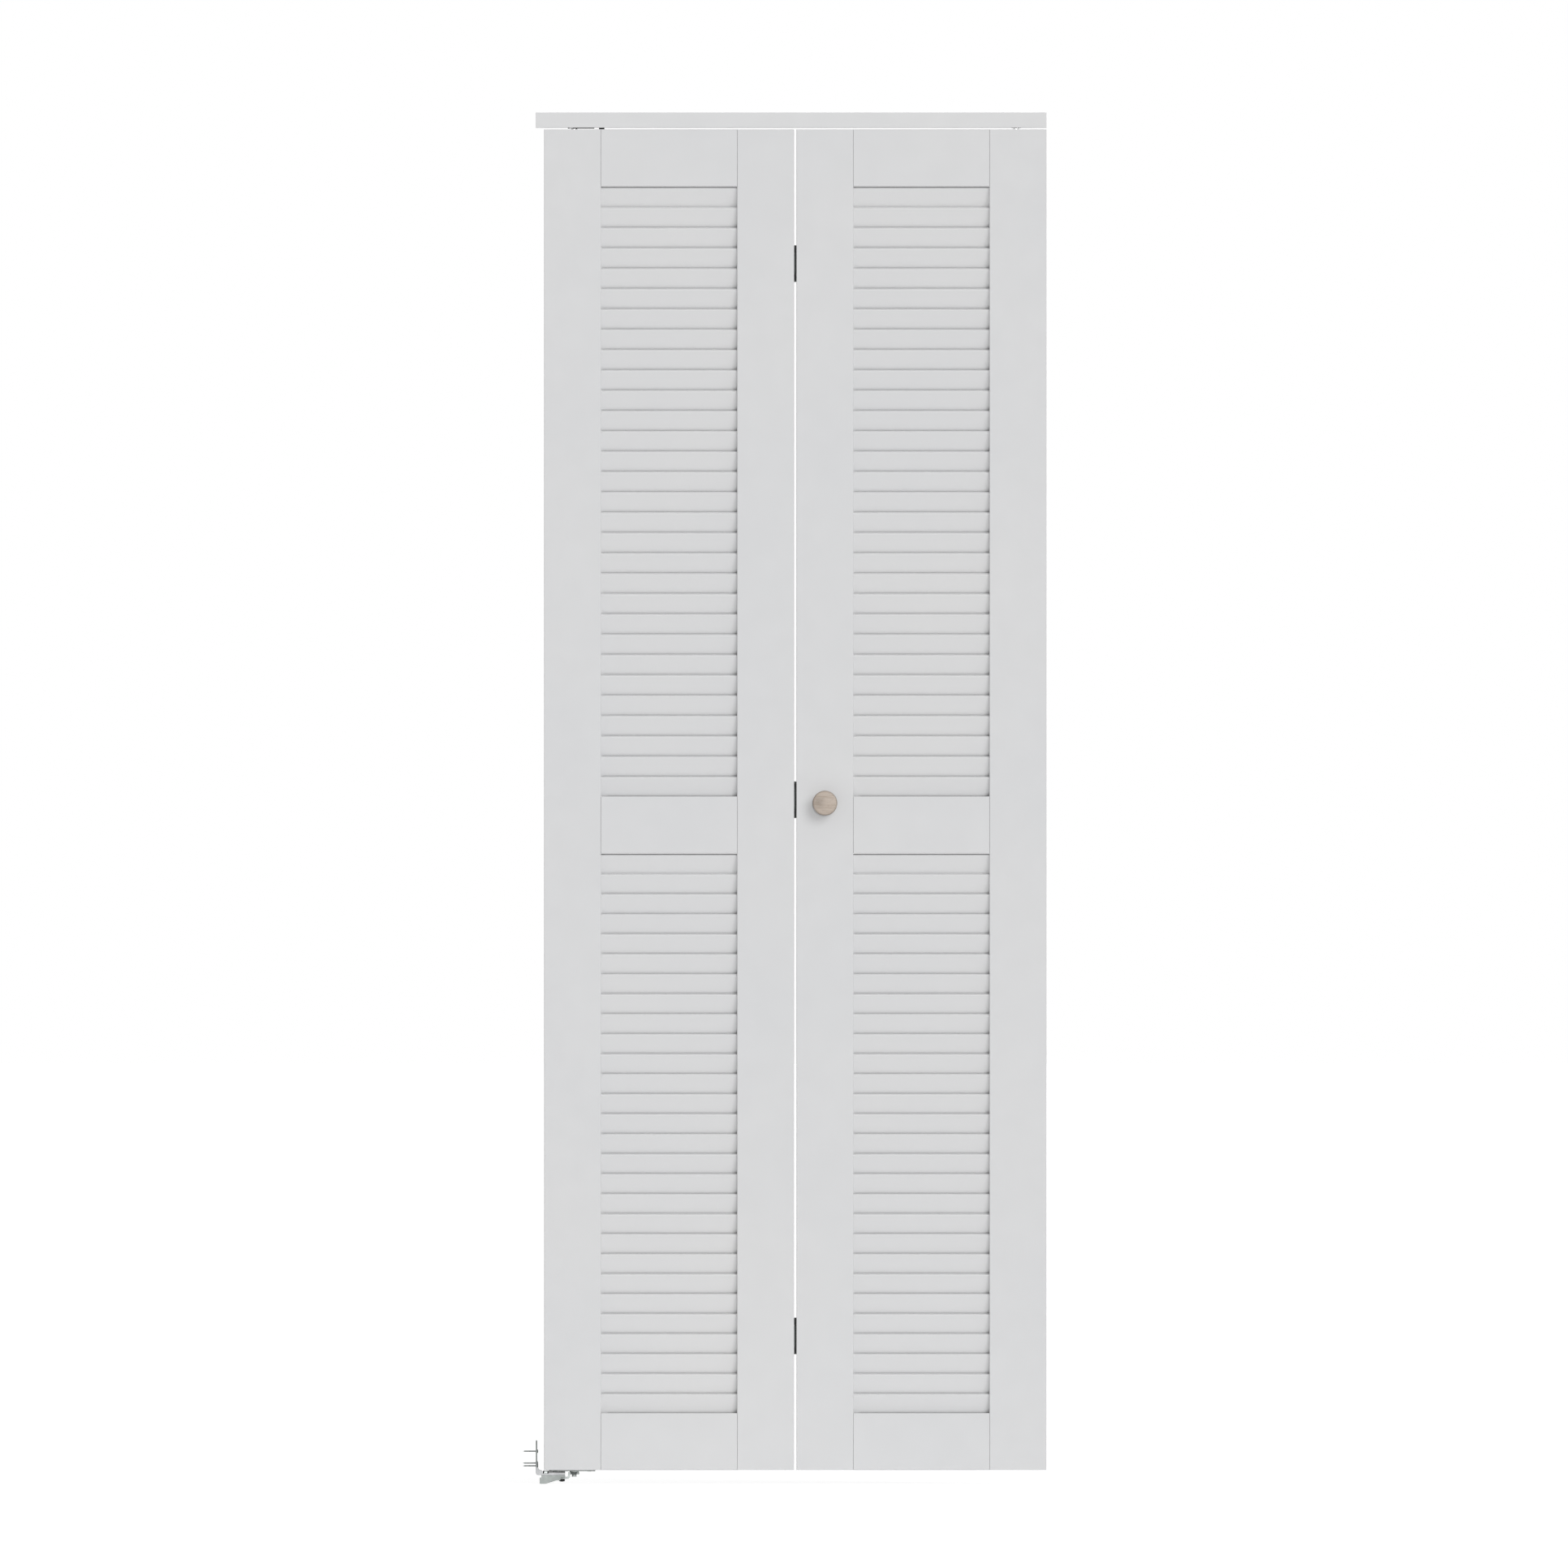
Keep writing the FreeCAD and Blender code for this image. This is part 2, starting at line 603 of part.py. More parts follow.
def bracket_shoe():
    """The channel with tapered cheeks and a foot that carries the bracket off the floor."""
    body = new_body("bracket_shoe", x=JAMB, z=DOOR_BOTTOM)
    foot_left = "(sizes.shoe_setback - sizes.foot_step)"
    foot_right = f"({foot_left} + sizes.foot_length)"
    side = sketch_on(body, "XZ_Plane")
    outline(side, [
        ("sizes.shoe_setback", SHOE_TOP),
        ("sizes.shoe_setback", "-sizes.foot_step_drop"),
        (foot_left, "-sizes.foot_step_drop"),
        (foot_left, "-sizes.foot_drop"),
        (foot_right, "-sizes.foot_drop"),
        (f"{foot_right} + sizes.taper_run", "-sizes.shoe_tip_drop"),
        (f"{foot_right} + sizes.taper_run + sizes.shoe_tip_length", "-sizes.shoe_tip_drop"),
        (f"{foot_right} + sizes.taper_run + sizes.shoe_tip_length", "-sizes.shoe_end_drop"),
        (SHELF_REACH, "-sizes.shoe_end_drop"),
        (SHELF_REACH, SHOE_TOP),
    ])
    pad(body, side, "sizes.bracket_width")
    hollow = sketch_on(body, "XZ_Plane")
    outline(hollow, [
        (f"{foot_left} - sizes.cut_overrun", SHOE_UNDERSIDE),
        (f"{foot_left} - sizes.cut_overrun", "sizes.shoe_sheet - sizes.foot_drop"),
        (foot_right, "sizes.shoe_sheet - sizes.foot_drop"),
        (foot_right, "-sizes.foot_drop - sizes.cut_overrun"),
        (f"{SHELF_REACH} + sizes.cut_overrun", "-sizes.foot_drop - sizes.cut_overrun"),
        (f"{SHELF_REACH} + sizes.cut_overrun", SHOE_UNDERSIDE),
    ])
    pocket(body, hollow, "sizes.bracket_width - 2 * sizes.shoe_sheet")
    slot = sketch_on(body, "XY_Plane", at=f"{SHOE_UNDERSIDE} - sizes.cut_overrun")
    slot_outline(slot)
    pocket(body, slot, "sizes.shoe_sheet + 2 * sizes.cut_overrun", 1)


def pivot_arm():
    """The cranked arm: flat under the shoe, bent up, and ending in the eye of the bottom pivot."""
    body = new_body("pivot_arm", z=DOOR_BOTTOM)
    arm_underside = f"({SHOE_UNDERSIDE} - sizes.arm_sheet)"
    inner_bend = "(sizes.arm_bend - sizes.arm_sheet)"
    crank_left = "(-sizes.crank_inset - sizes.arm_sheet)"
    rear = "(-sizes.arm_bolt_reach - sizes.arm_rear)"
    side = sketch_on(body, "XZ_Plane")
    outline(side, [
        (rear, SHOE_UNDERSIDE),
        (rear, arm_underside),
        ("-sizes.crank_inset - sizes.arm_bend", arm_underside),
        ("-sizes.crank_inset", f"{arm_underside} + sizes.arm_bend", "sizes.arm_bend", 1),
        ("-sizes.crank_inset", EYE_UNDERSIDE),
        ("0", EYE_UNDERSIDE),
        ("0", EYE_TOP),
        (crank_left, EYE_TOP),
        (crank_left, f"{SHOE_UNDERSIDE} + {inner_bend}"),
        (f"{crank_left} - {inner_bend}", SHOE_UNDERSIDE, inner_bend, -1),
    ])
    pad(body, side, "2 * sizes.eye_radius")
    eye = sketch_on(body, "XY_Plane", at=EYE_UNDERSIDE)
    circle(eye, "0", "0", "sizes.eye_radius")
    pad(body, eye, "sizes.arm_sheet", 1)
    drill(body, "XY_Plane", "0", "0", "sizes.journal_radius + sizes.running_clearance",
          f"{EYE_UNDERSIDE} - sizes.cut_overrun", "sizes.arm_sheet + 2 * sizes.cut_overrun", 1)
    drill(body, "XY_Plane", "-sizes.arm_bolt_reach", "0", "sizes.bolt_radius + sizes.screw_clearance",
          f"{arm_underside} - sizes.cut_overrun", "sizes.arm_sheet + 2 * sizes.cut_overrun", 1)

    grip = "(sizes.bracket_sheet + sizes.shoe_sheet + sizes.arm_sheet)"
    bolt = new_body("arm_bolt", x="-sizes.arm_bolt_reach", z=f"{DOOR_BOTTOM} + {SHELF_TOP}")
    head = sketch_on(bolt, "XY_Plane")
    outline(head, hexagon("sizes.bolt_head_radius"))
    pad(bolt, head, "sizes.bolt_head_height", 1)
    shank = sketch_on(bolt, "XY_Plane")
    circle(shank, "0", "0", "sizes.bolt_radius")
    pad(bolt, shank, f"{grip} + sizes.nut_height + sizes.bolt_end", -1)

    nut = new_body("arm_nut", x="-sizes.arm_bolt_reach", z=f"{DOOR_BOTTOM} + {arm_underside}")
    body_outline = sketch_on(nut, "XY_Plane")
    outline(body_outline, hexagon("sizes.nut_radius"))
    circle(body_outline, "0", "0", "sizes.bolt_radius + sizes.running_clearance")
    pad(nut, body_outline, "sizes.nut_height", -1)


def pivot_plate(stile_body):
    """The plate under the door and the bottom pivot pin that stands in the stile."""
    body = new_body("pivot_plate", z=DOOR_BOTTOM)
    plan = sketch_on(body, "XY_Plane")
    half = "sizes.plate_width / 2"
    left = "(sizes.plate_setback - sizes.pivot_inset)"
    outline(plan, [
        (left, f"-{half} + sizes.plate_corner"),
        (f"{left} + sizes.plate_corner", f"-{half}"),
        ("sizes.plate_right - sizes.plate_corner", f"-{half}"),
        ("sizes.plate_right", f"-{half} + sizes.plate_corner"),
        ("sizes.plate_right", f"{half} - sizes.plate_corner"),
        ("sizes.plate_right - sizes.plate_corner", half),
        (f"{left} + sizes.plate_corner", half),
        (left, f"{half} - sizes.plate_corner"),
    ])
    pad(body, plan, "sizes.plate_thickness", -1)
    hole_radius = "sizes.pivot_shank_radius + sizes.socket_fit"
    drill(body, "XY_Plane", "0", "0", hole_radius,
          "-sizes.plate_thickness - sizes.cut_overrun", "sizes.plate_thickness + 2 * sizes.cut_overrun", 1)
    drill(stile_body, "XY_Plane", "sizes.pivot_inset - sizes.stile_width / 2", "0", hole_radius,
          "-sizes.cut_overrun", "sizes.pivot_shank_length + sizes.cut_overrun", 1)

    pin = new_body("bottom_pivot_pin", z=DOOR_BOTTOM)
    thrust_top = "(-sizes.plate_thickness)"
    thrust_under = "(-sizes.plate_thickness - sizes.thrust_height)"
    profile = sketch_on(pin, "XZ_Plane")
    outline(profile, [
        ("0", "-sizes.journal_drop"),
        ("sizes.journal_radius", "-sizes.journal_drop"),
        ("sizes.journal_radius", thrust_under),
        ("sizes.thrust_radius", thrust_under),
        ("sizes.thrust_radius", thrust_top),
        ("sizes.pivot_shank_radius", thrust_top),
        ("sizes.pivot_shank_radius", "sizes.pivot_shank_length"),
        ("0", "sizes.pivot_shank_length"),
    ])
    turn_solid(pin, profile)


def top_pivot(stile_body):
    """The socket in the top of the pivot stile, and the sprung pin that slides in it."""
    depth = "(sizes.pin_length - sizes.pin_rise + sizes.pin_travel + sizes.socket_play)"
    socket = new_body("top_pivot_socket", z=DOOR_TOP)
    socket_outline(socket, "sizes.socket_radius", [], depth)
    drill(stile_body, "XY_Plane", "sizes.pivot_inset - sizes.stile_width / 2", "0",
          "sizes.socket_radius + sizes.socket_fit", "sizes.door_height + sizes.cut_overrun",
          f"{depth} + sizes.socket_floor + sizes.cut_overrun", -1)
    pin = new_body("top_pivot_pin", z=f"{DOOR_TOP} + sizes.pin_rise")
    shank = sketch_on(pin, "XY_Plane")
    circle(shank, "0", "0", "sizes.pin_radius")
    pad(pin, shank, "sizes.pin_length", -1)


def socket_outline(body, outer_radius, mouth, depth):
    """A closed tube for a sprung pin, with the mouth's points, if any, above its bore."""
    section = sketch_on(body, "XZ_Plane")
    bore_top = mouth if mouth else [(PIN_HOLE_RADIUS, "0")]
    outline(section, bore_top + [
        (PIN_HOLE_RADIUS, f"-{depth}"),
        ("0", f"-{depth}"),
        ("0", f"-{depth} - sizes.socket_floor"),
        (outer_radius, f"-{depth} - sizes.socket_floor"),
        (outer_radius, "0"),
    ])
    turn_solid(body, section)


def guide(stile_body):
    """The cupped socket in the top of the guide stile, with its sprung pin and its wheel."""
    depth = "(sizes.cup_depth + sizes.pin_length + sizes.pin_travel + sizes.socket_play)"
    socket = new_body("guide_socket", x=GUIDE_X, z=DOOR_TOP)
    socket_outline(socket, "sizes.cup_radius", [
        ("sizes.cup_bore", "0"),
        ("sizes.cup_bore", "-sizes.cup_depth"),
        (PIN_HOLE_RADIUS, "-sizes.cup_depth"),
    ], depth)
    drill(stile_body, "XY_Plane", "sizes.stile_width / 2 - sizes.pivot_inset", "0",
          "sizes.cup_radius + sizes.socket_fit", "sizes.door_height + sizes.cut_overrun",
          f"{depth} + sizes.socket_floor + sizes.cut_overrun", -1)

    pin = new_body("guide_pin", x=GUIDE_X, z=f"{DOOR_TOP} + sizes.wheel_lift")
    profile = sketch_on(pin, "XZ_Plane")
    foot = "(-sizes.wheel_lift - sizes.cup_depth - sizes.pin_length)"
    outline(profile, [
        ("0", foot),
        ("sizes.pin_radius", foot),
        ("sizes.pin_radius", "-sizes.wheel_play"),
        ("sizes.axle_radius", "-sizes.wheel_play"),
        ("sizes.axle_radius", "sizes.wheel_height"),
        ("0", "sizes.wheel_height"),
    ])
    turn_solid(pin, profile)

    wheel = new_body("guide_wheel", x=GUIDE_X, z=f"{DOOR_TOP} + sizes.wheel_lift")
    rim = sketch_on(wheel, "XY_Plane")
    circle(rim, "0", "0", "sizes.wheel_radius")
    circle(rim, "0", "0", "sizes.axle_radius + sizes.running_clearance")
    pad(wheel, rim, "sizes.wheel_height", 1)


def leaf(name, near_face, far_face, front, height):
    """One leaf with its barrel, centred on the lowest hinge; the faces are measured from the pin."""
    body = new_body(name, x=KNUCKLE_X, z=f"{DOOR_BOTTOM} + sizes.hinge_end_distance", many=True)
    plan = sketch_on(body, "XY_Plane")
    outline(plan, rectangle(near_face, far_face, front, KNUCKLE_Y))
    pad(body, plan, height)
    barrel = sketch_on(body, "XY_Plane")
    circle(barrel, "0", KNUCKLE_Y, "sizes.barrel_radius")
    pad(body, barrel, height)
    return body


def hinges():
    """Three nested hinges: small leaves on the left panel, large ones with their pins on the right."""
    outer = "sizes.panel_gap / 2"
    open_face = "(sizes.panel_gap / 2 - sizes.leaf_thickness)"
    small = leaf("hinge_small_leaves", f"-{outer}", f"-{open_face}", SMALL_LEAF_FRONT,
                 "sizes.small_leaf_height")
    large = leaf("hinge_large_leaves", open_face, outer, LEAF_FRONT, "sizes.hinge_height")
    window = sketch_on(large, "XZ_Plane", at=f"{SMALL_LEAF_FRONT} - sizes.leaf_nest_gap")
    half_window = "(sizes.small_leaf_height / 2 + sizes.leaf_nest_gap)"
    past_barrel = "(sizes.barrel_radius + sizes.cut_overrun)"
    outline(window, rectangle("-" + past_barrel, past_barrel, "-" + half_window, half_window))
    pocket(large, window, "sizes.door_thickness + 2 * sizes.barrel_radius", 1)
    drill(small, "XY_Plane", "0", KNUCKLE_Y, "sizes.hinge_pin_radius + sizes.hinge_pin_clearance",
          "0", "sizes.hinge_height", 0)
    pin = sketch_on(large, "XY_Plane")
    circle(pin, "0", KNUCKLE_Y, "sizes.hinge_pin_radius")
    pad(large, pin, "sizes.hinge_height")
    for body in (small, large):
        repeat_whole(body, HINGE_STEP, "sizes.hinge_count")


def knob():
    """The turned knob on the front of the right panel's hinge stile."""
    body = new_body("knob", x=f"({RIGHT_PANEL_EDGE} + sizes.stile_width / 2)", y="-sizes.door_thickness / 2",
                    z=f"{DOOR_BOTTOM} + sizes.knob_level")
    profile = sketch_on(body, "XY_Plane")
    outline(profile, [
        ("0", "0"),
        ("0", "-sizes.knob_length"),
        ("sizes.knob_face_radius", "-sizes.knob_length"),
        ("sizes.knob_radius", "-sizes.knob_flare - sizes.knob_rim_height"),
        ("sizes.knob_radius", "-sizes.knob_flare"),
        ("sizes.knob_neck_radius", "0"),
    ])
    turn_solid(body, profile)


def export():
    """Stops on any failed object or shape, and writes each sub-part's solids."""
    failed = [item.Label for item in doc.Objects if "Invalid" in item.State or "Error" in item.State]
    failed += [body.Label for body in bodies if body.Shape.isNull() or not body.Shape.isValid()]
    if failed:
        raise ValueError("these did not build: " + ", ".join(failed))
    os.makedirs("parts", exist_ok=True)
    for body in bodies:
        body.Shape.exportStep("parts/" + body.Label + ".step")


head_track()
top_bracket()
jamb_bracket()
jamb_screws()
bracket_shoe()
pivot_arm()
pivot_stile, _ = panel("left", LEFT_EDGE, "pivot_stile")
_, guide_stile = panel("right", RIGHT_PANEL_EDGE, "guide_stile")
pivot_plate(pivot_stile)
top_pivot(pivot_stile)
guide(guide_stile)
hinges()
knob()
doc.recompute()
export()
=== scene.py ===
import math
import random

import bmesh
import bpy
from mathutils import Matrix, Vector


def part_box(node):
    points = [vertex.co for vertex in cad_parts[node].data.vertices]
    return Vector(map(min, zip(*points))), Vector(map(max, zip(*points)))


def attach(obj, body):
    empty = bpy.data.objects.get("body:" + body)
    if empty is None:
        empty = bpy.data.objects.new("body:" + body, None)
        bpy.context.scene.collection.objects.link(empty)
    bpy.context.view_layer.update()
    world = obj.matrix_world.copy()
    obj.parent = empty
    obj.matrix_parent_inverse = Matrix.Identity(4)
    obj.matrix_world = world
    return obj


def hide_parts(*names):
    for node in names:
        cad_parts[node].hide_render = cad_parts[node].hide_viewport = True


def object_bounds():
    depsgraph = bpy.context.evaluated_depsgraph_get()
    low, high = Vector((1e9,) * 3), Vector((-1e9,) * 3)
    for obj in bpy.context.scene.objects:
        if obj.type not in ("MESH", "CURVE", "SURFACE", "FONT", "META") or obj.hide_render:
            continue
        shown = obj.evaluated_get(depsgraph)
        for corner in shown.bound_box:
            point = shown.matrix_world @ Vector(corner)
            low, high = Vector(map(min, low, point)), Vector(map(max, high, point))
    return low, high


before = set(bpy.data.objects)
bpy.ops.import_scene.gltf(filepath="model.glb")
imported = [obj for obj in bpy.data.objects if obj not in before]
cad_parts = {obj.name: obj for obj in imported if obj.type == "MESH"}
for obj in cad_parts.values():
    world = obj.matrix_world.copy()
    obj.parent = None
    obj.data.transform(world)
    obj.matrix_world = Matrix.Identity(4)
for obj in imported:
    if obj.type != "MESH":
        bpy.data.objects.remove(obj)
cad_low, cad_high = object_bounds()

# Everything is in metres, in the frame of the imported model: X along the track, Y into the
# closet, Z up, with the origin on the fixed pivot axis at the top of the head track.

RANDOM_SEED = 7

# Stiles and rails of each panel
STILES = (("left", ("pivot_stile", "hinge_stile")), ("right", ("hinge_stile", "guide_stile")))
RAILS = ("top_rail", "mid_rail", "bottom_rail")

# Slats
UPPER_SLATS = 30
LOWER_SLATS = 28
SLAT_WIDTH = 0.038
SLAT_THICKNESS = 0.007
SLAT_EDGE_RADIUS = 0.0010
SLAT_ANGLE = math.radians(71)
SLAT_EDGE_STEPS = 5
SLAT_TILT_SPREAD = math.radians(0.12)
SLAT_LET_IN = 0.0003
SLAT_SMOOTH_ANGLE = math.radians(60)

# Hinges, as far as their fasteners need them
HINGE_COUNT = 3
HINGE_HEIGHT = 0.053
BARREL_RADIUS = 0.003
LEAF_HALF_STEP = 0.00025
# Depth and height of each screw from the middle of its hinge
SMALL_LEAF_SCREWS = ((0.003, 0.0085), (0.003, -0.0085))
LARGE_LEAF_SCREWS = ((-0.006, 0.0208), (0.008, 0.0208), (-0.006, -0.0208), (0.008, -0.0208))
LEAF_SCREW_RADIUS = 0.0029
LEAF_SCREW_RISE = 0.00045
PIN_HEAD_RADIUS = 0.0021
PIN_HEAD_RISE = 0.0011

# Heads of screws and rivets: steps around, rings, how full the dome is, and the cross recess
HEAD_STEPS = 40
HEAD_RINGS = 12
HEAD_DOME_POWER = 0.7
RECESS_REACH_SHARE = 0.62
RECESS_WIDTH_SHARE = 0.13
RECESS_DEPTH_SHARE = 0.55
HEXAGON_SIDES = 6
# Share of the radius and of the height at each ring of a hexagon head
HEXAGON_PROFILE = ((1.0, 0.0), (1.0, 0.80), (0.84, 1.0))

# Screw threads
THREAD_PITCH = 0.0013
THREAD_DEPTH_SHARE = 0.28
THREAD_CREST_POWER = 0.8
THREAD_STEPS = 20
THREAD_RINGS_PER_TURN = 8
SCREW_TIP_LENGTH = 0.0032
SCREW_TIP_SHARE = 0.12

# Fasteners of the jamb bracket; each place is a depth and a height above the bottom of the door
JAMB_SCREW_RADIUS = 0.0012
JAMB_HEAD_HEIGHT = 0.0013
JAMB_HEAD_RADIUS = 0.0029
JAMB_SCREW_PLACES = ((0.0, 0.0281), (-0.009, 0.0105), (0.009, 0.0062))
ARM_BOLT_HEAD_HEIGHT = 0.0028
SHOE_SCREW_X = -0.0424
SHOE_SCREW_RADIUS = 0.0046
SHOE_SCREW_RISE = 0.0040

# Other fasteners
PLATE_SCREW_INSETS = (0.009, 0.0605)
PLATE_SCREW_RADIUS = 0.0034
PLATE_SCREW_RISE = 0.0005
KNOB_SCREW_RADIUS = 0.0045
KNOB_SCREW_RISE = 0.0018
CLAMP_SCREW_RADIUS = 0.0033
CLAMP_SCREW_RISE = 0.0022
AXLE_HEAD_RADIUS = 0.0034
AXLE_HEAD_RISE = 0.0007

# Knob; the rim's arc is in turns of a circle, and the neck narrows over a share of the rest
KNOB_STEPS = 96
KNOB_DOME_RISE = 0.0014
KNOB_RIM_RADIUS = 0.0042
KNOB_RIM_ARC = (0.25, -0.12)
KNOB_NECK_RADIUS = 0.0082
KNOB_NECK_POWER = 2.4
KNOB_NECK_SHARE = 0.8
KNOB_FOOT_RADIUS = 0.0098
KNOB_CURVE_STEPS = 14

# Soft edges on the pieces that come from the frame
WELD_DISTANCE = 0.00001
FLAT_ANGLE = math.radians(0.5)
WOOD_EDGE = 0.0003
SHEET_EDGE = 0.0003
FITTING_EDGE = 0.0002
EDGE_ANGLE = math.radians(32)
EDGE_STEPS = 2

# In what follows, a scale is in turns per metre, places are on a ramp from 0 to 1, shades are
# (place, value) pairs, and a bump is (strength, depth in metres).

# Paint: (low, high) colours, the grain under it, and its patterns
WOOD_PAINT = ((0.675, 0.680, 0.690), (0.688, 0.690, 0.695))
STEEL_PAINT = ((0.692, 0.696, 0.703), (0.702, 0.703, 0.706))
# The slats' paint is lighter than the frame's: painted light, making up for the light their
# downward tilt takes from them
LIGHTENED_SLAT_PAINT = ((0.735, 0.738, 0.746), (0.748, 0.748, 0.750))
GRAIN_UP = (700.0, 700.0, 9.0)
GRAIN_ACROSS = (9.0, 700.0, 700.0)
WOOD_GRAIN_BUMP = (0.16, 0.0002)
STEEL_GRAIN_BUMP = (0.04, 0.0002)
PAINT_TONE_SCALE = 2.6
PAINT_TONE_PLACES = (0.35, 0.65)
PAINT_GLOSS_SCALE = 35.0
PAINT_ROUGHNESS = ((0.3, 0.52), (0.7, 0.62))
PEEL_SCALE = 900.0
PEEL_BUMP = (0.10, 0.00008)

# Painted shade, darkening the paint in tight corners and crevices: how it is sampled, how far it
# reaches, and its shade in deep and in open corners, each as (how open, how pale)
PAINTED_SHADE_SAMPLES = 8
PAINTED_SHADE_REACH = 0.008
PAINTED_SHADE_DEEP = (0.24, 0.4)
PAINTED_SHADE_CLEAR = (0.56, 1.0)
NO_PAINTED_SHADE_COLOUR = (1.0, 1.0, 1.0)
# Which end of a slat a point is at, as an attribute, and the kinds of painted shade that
# white_paint takes
ALONG = "along"
# Painted shade from every corner near the piece, its own and those of other pieces
PAINTED_SHADE_ALL_OVER = ((None, False),)
# Painted shade on the slats: near their left ends only their own corners darken them, along the
# rest the stiles' corners darken them too
SLAT_PAINTED_SHADE = (((0.06, 0.03), True), ((0.03, 0.06), False))
# No painted shade
UNSHADED = ()

# Zinc: (roughness low, roughness high, share of metal), and its patterns
ZINC_DULL = (0.50, 0.66, 0.55)
ZINC_BRIGHT = (0.30, 0.44, 0.80)
ZINC_BLACK = (0.62, 0.75, 0.40)
ZINC_POLISHED = (0.10, 0.20, 1.0)
CRYSTAL_SCALE = 260.0
CRYSTAL_PLACES = (0.1, 0.9)
CRYSTAL_BUMP = (0.12, 0.00006)
CLOUD_SCALE = 90.0
CLOUD_SHADES = ((0.35, 0.0), (0.7, 1.0))
CLOUD_GLOSS_PLACES = (0.3, 0.75)
ROLLING_SCALE = (40.0, 900.0, 900.0)
ROLLING_BUMP = (0.15, 0.00004)
# (dark, light) colours of the crystals
PLATE_COLOURS = ((0.285, 0.305, 0.295), (0.330, 0.352, 0.341))
BRACKET_COLOURS = ((0.400, 0.404, 0.410), (0.440, 0.444, 0.450))
ARM_COLOURS = ((0.43, 0.455, 0.445), (0.50, 0.53, 0.52))
SCREW_COLOURS = ((0.22, 0.235, 0.23), (0.34, 0.36, 0.35))
LOWER_PIN_COLOURS = ((0.40, 0.42, 0.41), (0.46, 0.48, 0.47))
BLACK_COLOURS = ((0.012, 0.013, 0.013), (0.028, 0.031, 0.030))
BRIGHT_COLOURS = ((0.90, 0.90, 0.90), (0.95, 0.95, 0.95))
BARREL_COLOURS = ((0.46, 0.48, 0.47), (0.54, 0.56, 0.55))
# Where a piece has another colour: the axis, (from, to) along it, and the colour
X_AXIS, Y_AXIS, Z_AXIS = range(3)
# The jamb bracket is darker from a little above the foot of the door upwards
BRACKET_UPPER_DARKER = (Z_AXIS, (-2.0210, 0.0), (0.20, 0.213, 0.208))
# Painted shade: the pivot arm's eye, under the door, is darker
ARM_EYE_PAINTED_SHADE = (X_AXIS, (-0.0055, 0.0040), (0.07, 0.078, 0.076))
# A painted highlight: a pale band across the black saddle of the top pivot bracket
SADDLE_PAINTED_HIGHLIGHT = (X_AXIS, (-0.0073, -0.0024), (0.85, 0.85, 0.85))
# Painted shade: the upper pivot pin is black from a little below the track upwards
UPPER_PIN_PAINTED_SHADE = (Z_AXIS, (-0.0236, 0.0), (0.012, 0.013, 0.013))
LEAF_DEPTHS = (-0.1, 0.0140)
SMALL_LEAF_GREY = (Y_AXIS, LEAF_DEPTHS, (0.33, 0.37, 0.355))
LARGE_LEAF_BLACK = (Y_AXIS, LEAF_DEPTHS, (0.008, 0.009, 0.009))

# Nylon: (dark, light) colours, and its patterns
SOCKET_COLOURS = ((0.50, 0.51, 0.50), (0.56, 0.57, 0.555))
WHEEL_COLOURS = ((0.74, 0.745, 0.74), (0.80, 0.805, 0.80))
NYLON_TONE_SCALE = 120.0
NYLON_TONE_PLACES = (0.3, 0.7)
NYLON_SKIN_SCALE = 1500.0
NYLON_SKIN_BUMP = (0.10, 0.00004)
NYLON_ROUGHNESS = ((0.3, 0.42), (0.7, 0.55))
NYLON_SCATTER_SHARE = 0.05
NYLON_SCATTER_REACH = (0.001, 0.001, 0.001)

# Knob's wood: how its growth bends, its bands, fibres and flecks
BEND_SCALE = (25.0, 60.0, 60.0)
BEND_REACH = (0.0, 0.004, 0.010)
GROWTH_SCALE = (9.0, 240.0, 240.0)
GROWTH_SHADES = (
    (0.28, (0.375, 0.295, 0.235)),
    (0.44, (0.500, 0.418, 0.350)),
    (0.60, (0.545, 0.465, 0.397)),
    (0.78, (0.465, 0.380, 0.312)),
)
GROWTH_ROUGHNESS = ((0.3, 0.62), (0.7, 0.52))
GROWTH_BUMP = (0.12, 0.0001)
FIBRE_SCALE = (60.0, 2600.0, 2600.0)
FIBRE_SHADES = ((0.30, 0.86), (0.62, 1.0))
FIBRE_BUMP = (0.25, 0.00005)
FLECK_SCALE = (170.0, 1500.0, 1500.0)
FLECK_SHADES = ((0.30, 0.72), (0.40, 1.0))
FLECK_SHARE = 0.8
# Figure in the knob's wood, from the middle of its foot, and painted shade on its turned side
FIGURE_PLACE = (-0.0095, -0.0270, 0.0015)
FIGURE_REACH = 0.0120
FIGURE_SHADE = 0.70
TURNED_EDGE = (-0.0262, -0.0235)
TURNED_SIDE_PAINTED_SHADE = 0.60

# Sockets of the colour mix node
MIX_FACTOR = 0
MIX_FIRST = 6
MIX_SECOND = 7
MIX_RESULT = 2

# Camera: level and far off, with the middle of its picture and how wide it sees
PICTURE_CENTRE_X = 0.31297
PICTURE_CENTRE_Z = -1.0017
PICTURE_WIDTH = 2.339
CAMERA_DISTANCE = 100.0
CAMERA_CLIP_SHARE = 4
SENSOR_WIDTH = 36.0

# Light
KEY_DIRECTION = (-0.5, 1.0, -0.45)
KEY_STRENGTH = 1.0
KEY_ANGLE = 0.6
FILL_DIRECTION = (-0.04, 1.0, -0.06)
FILL_STRENGTH = 0.6
FILL_ANGLE = 0.1
SKY_STRENGTH = 0.45
FLOOR_REACH = 150.0
FLOOR_GLOW = 0.6
FLOOR_COLOUR = 0.9
FLOOR_ROUGHNESS = 0.9


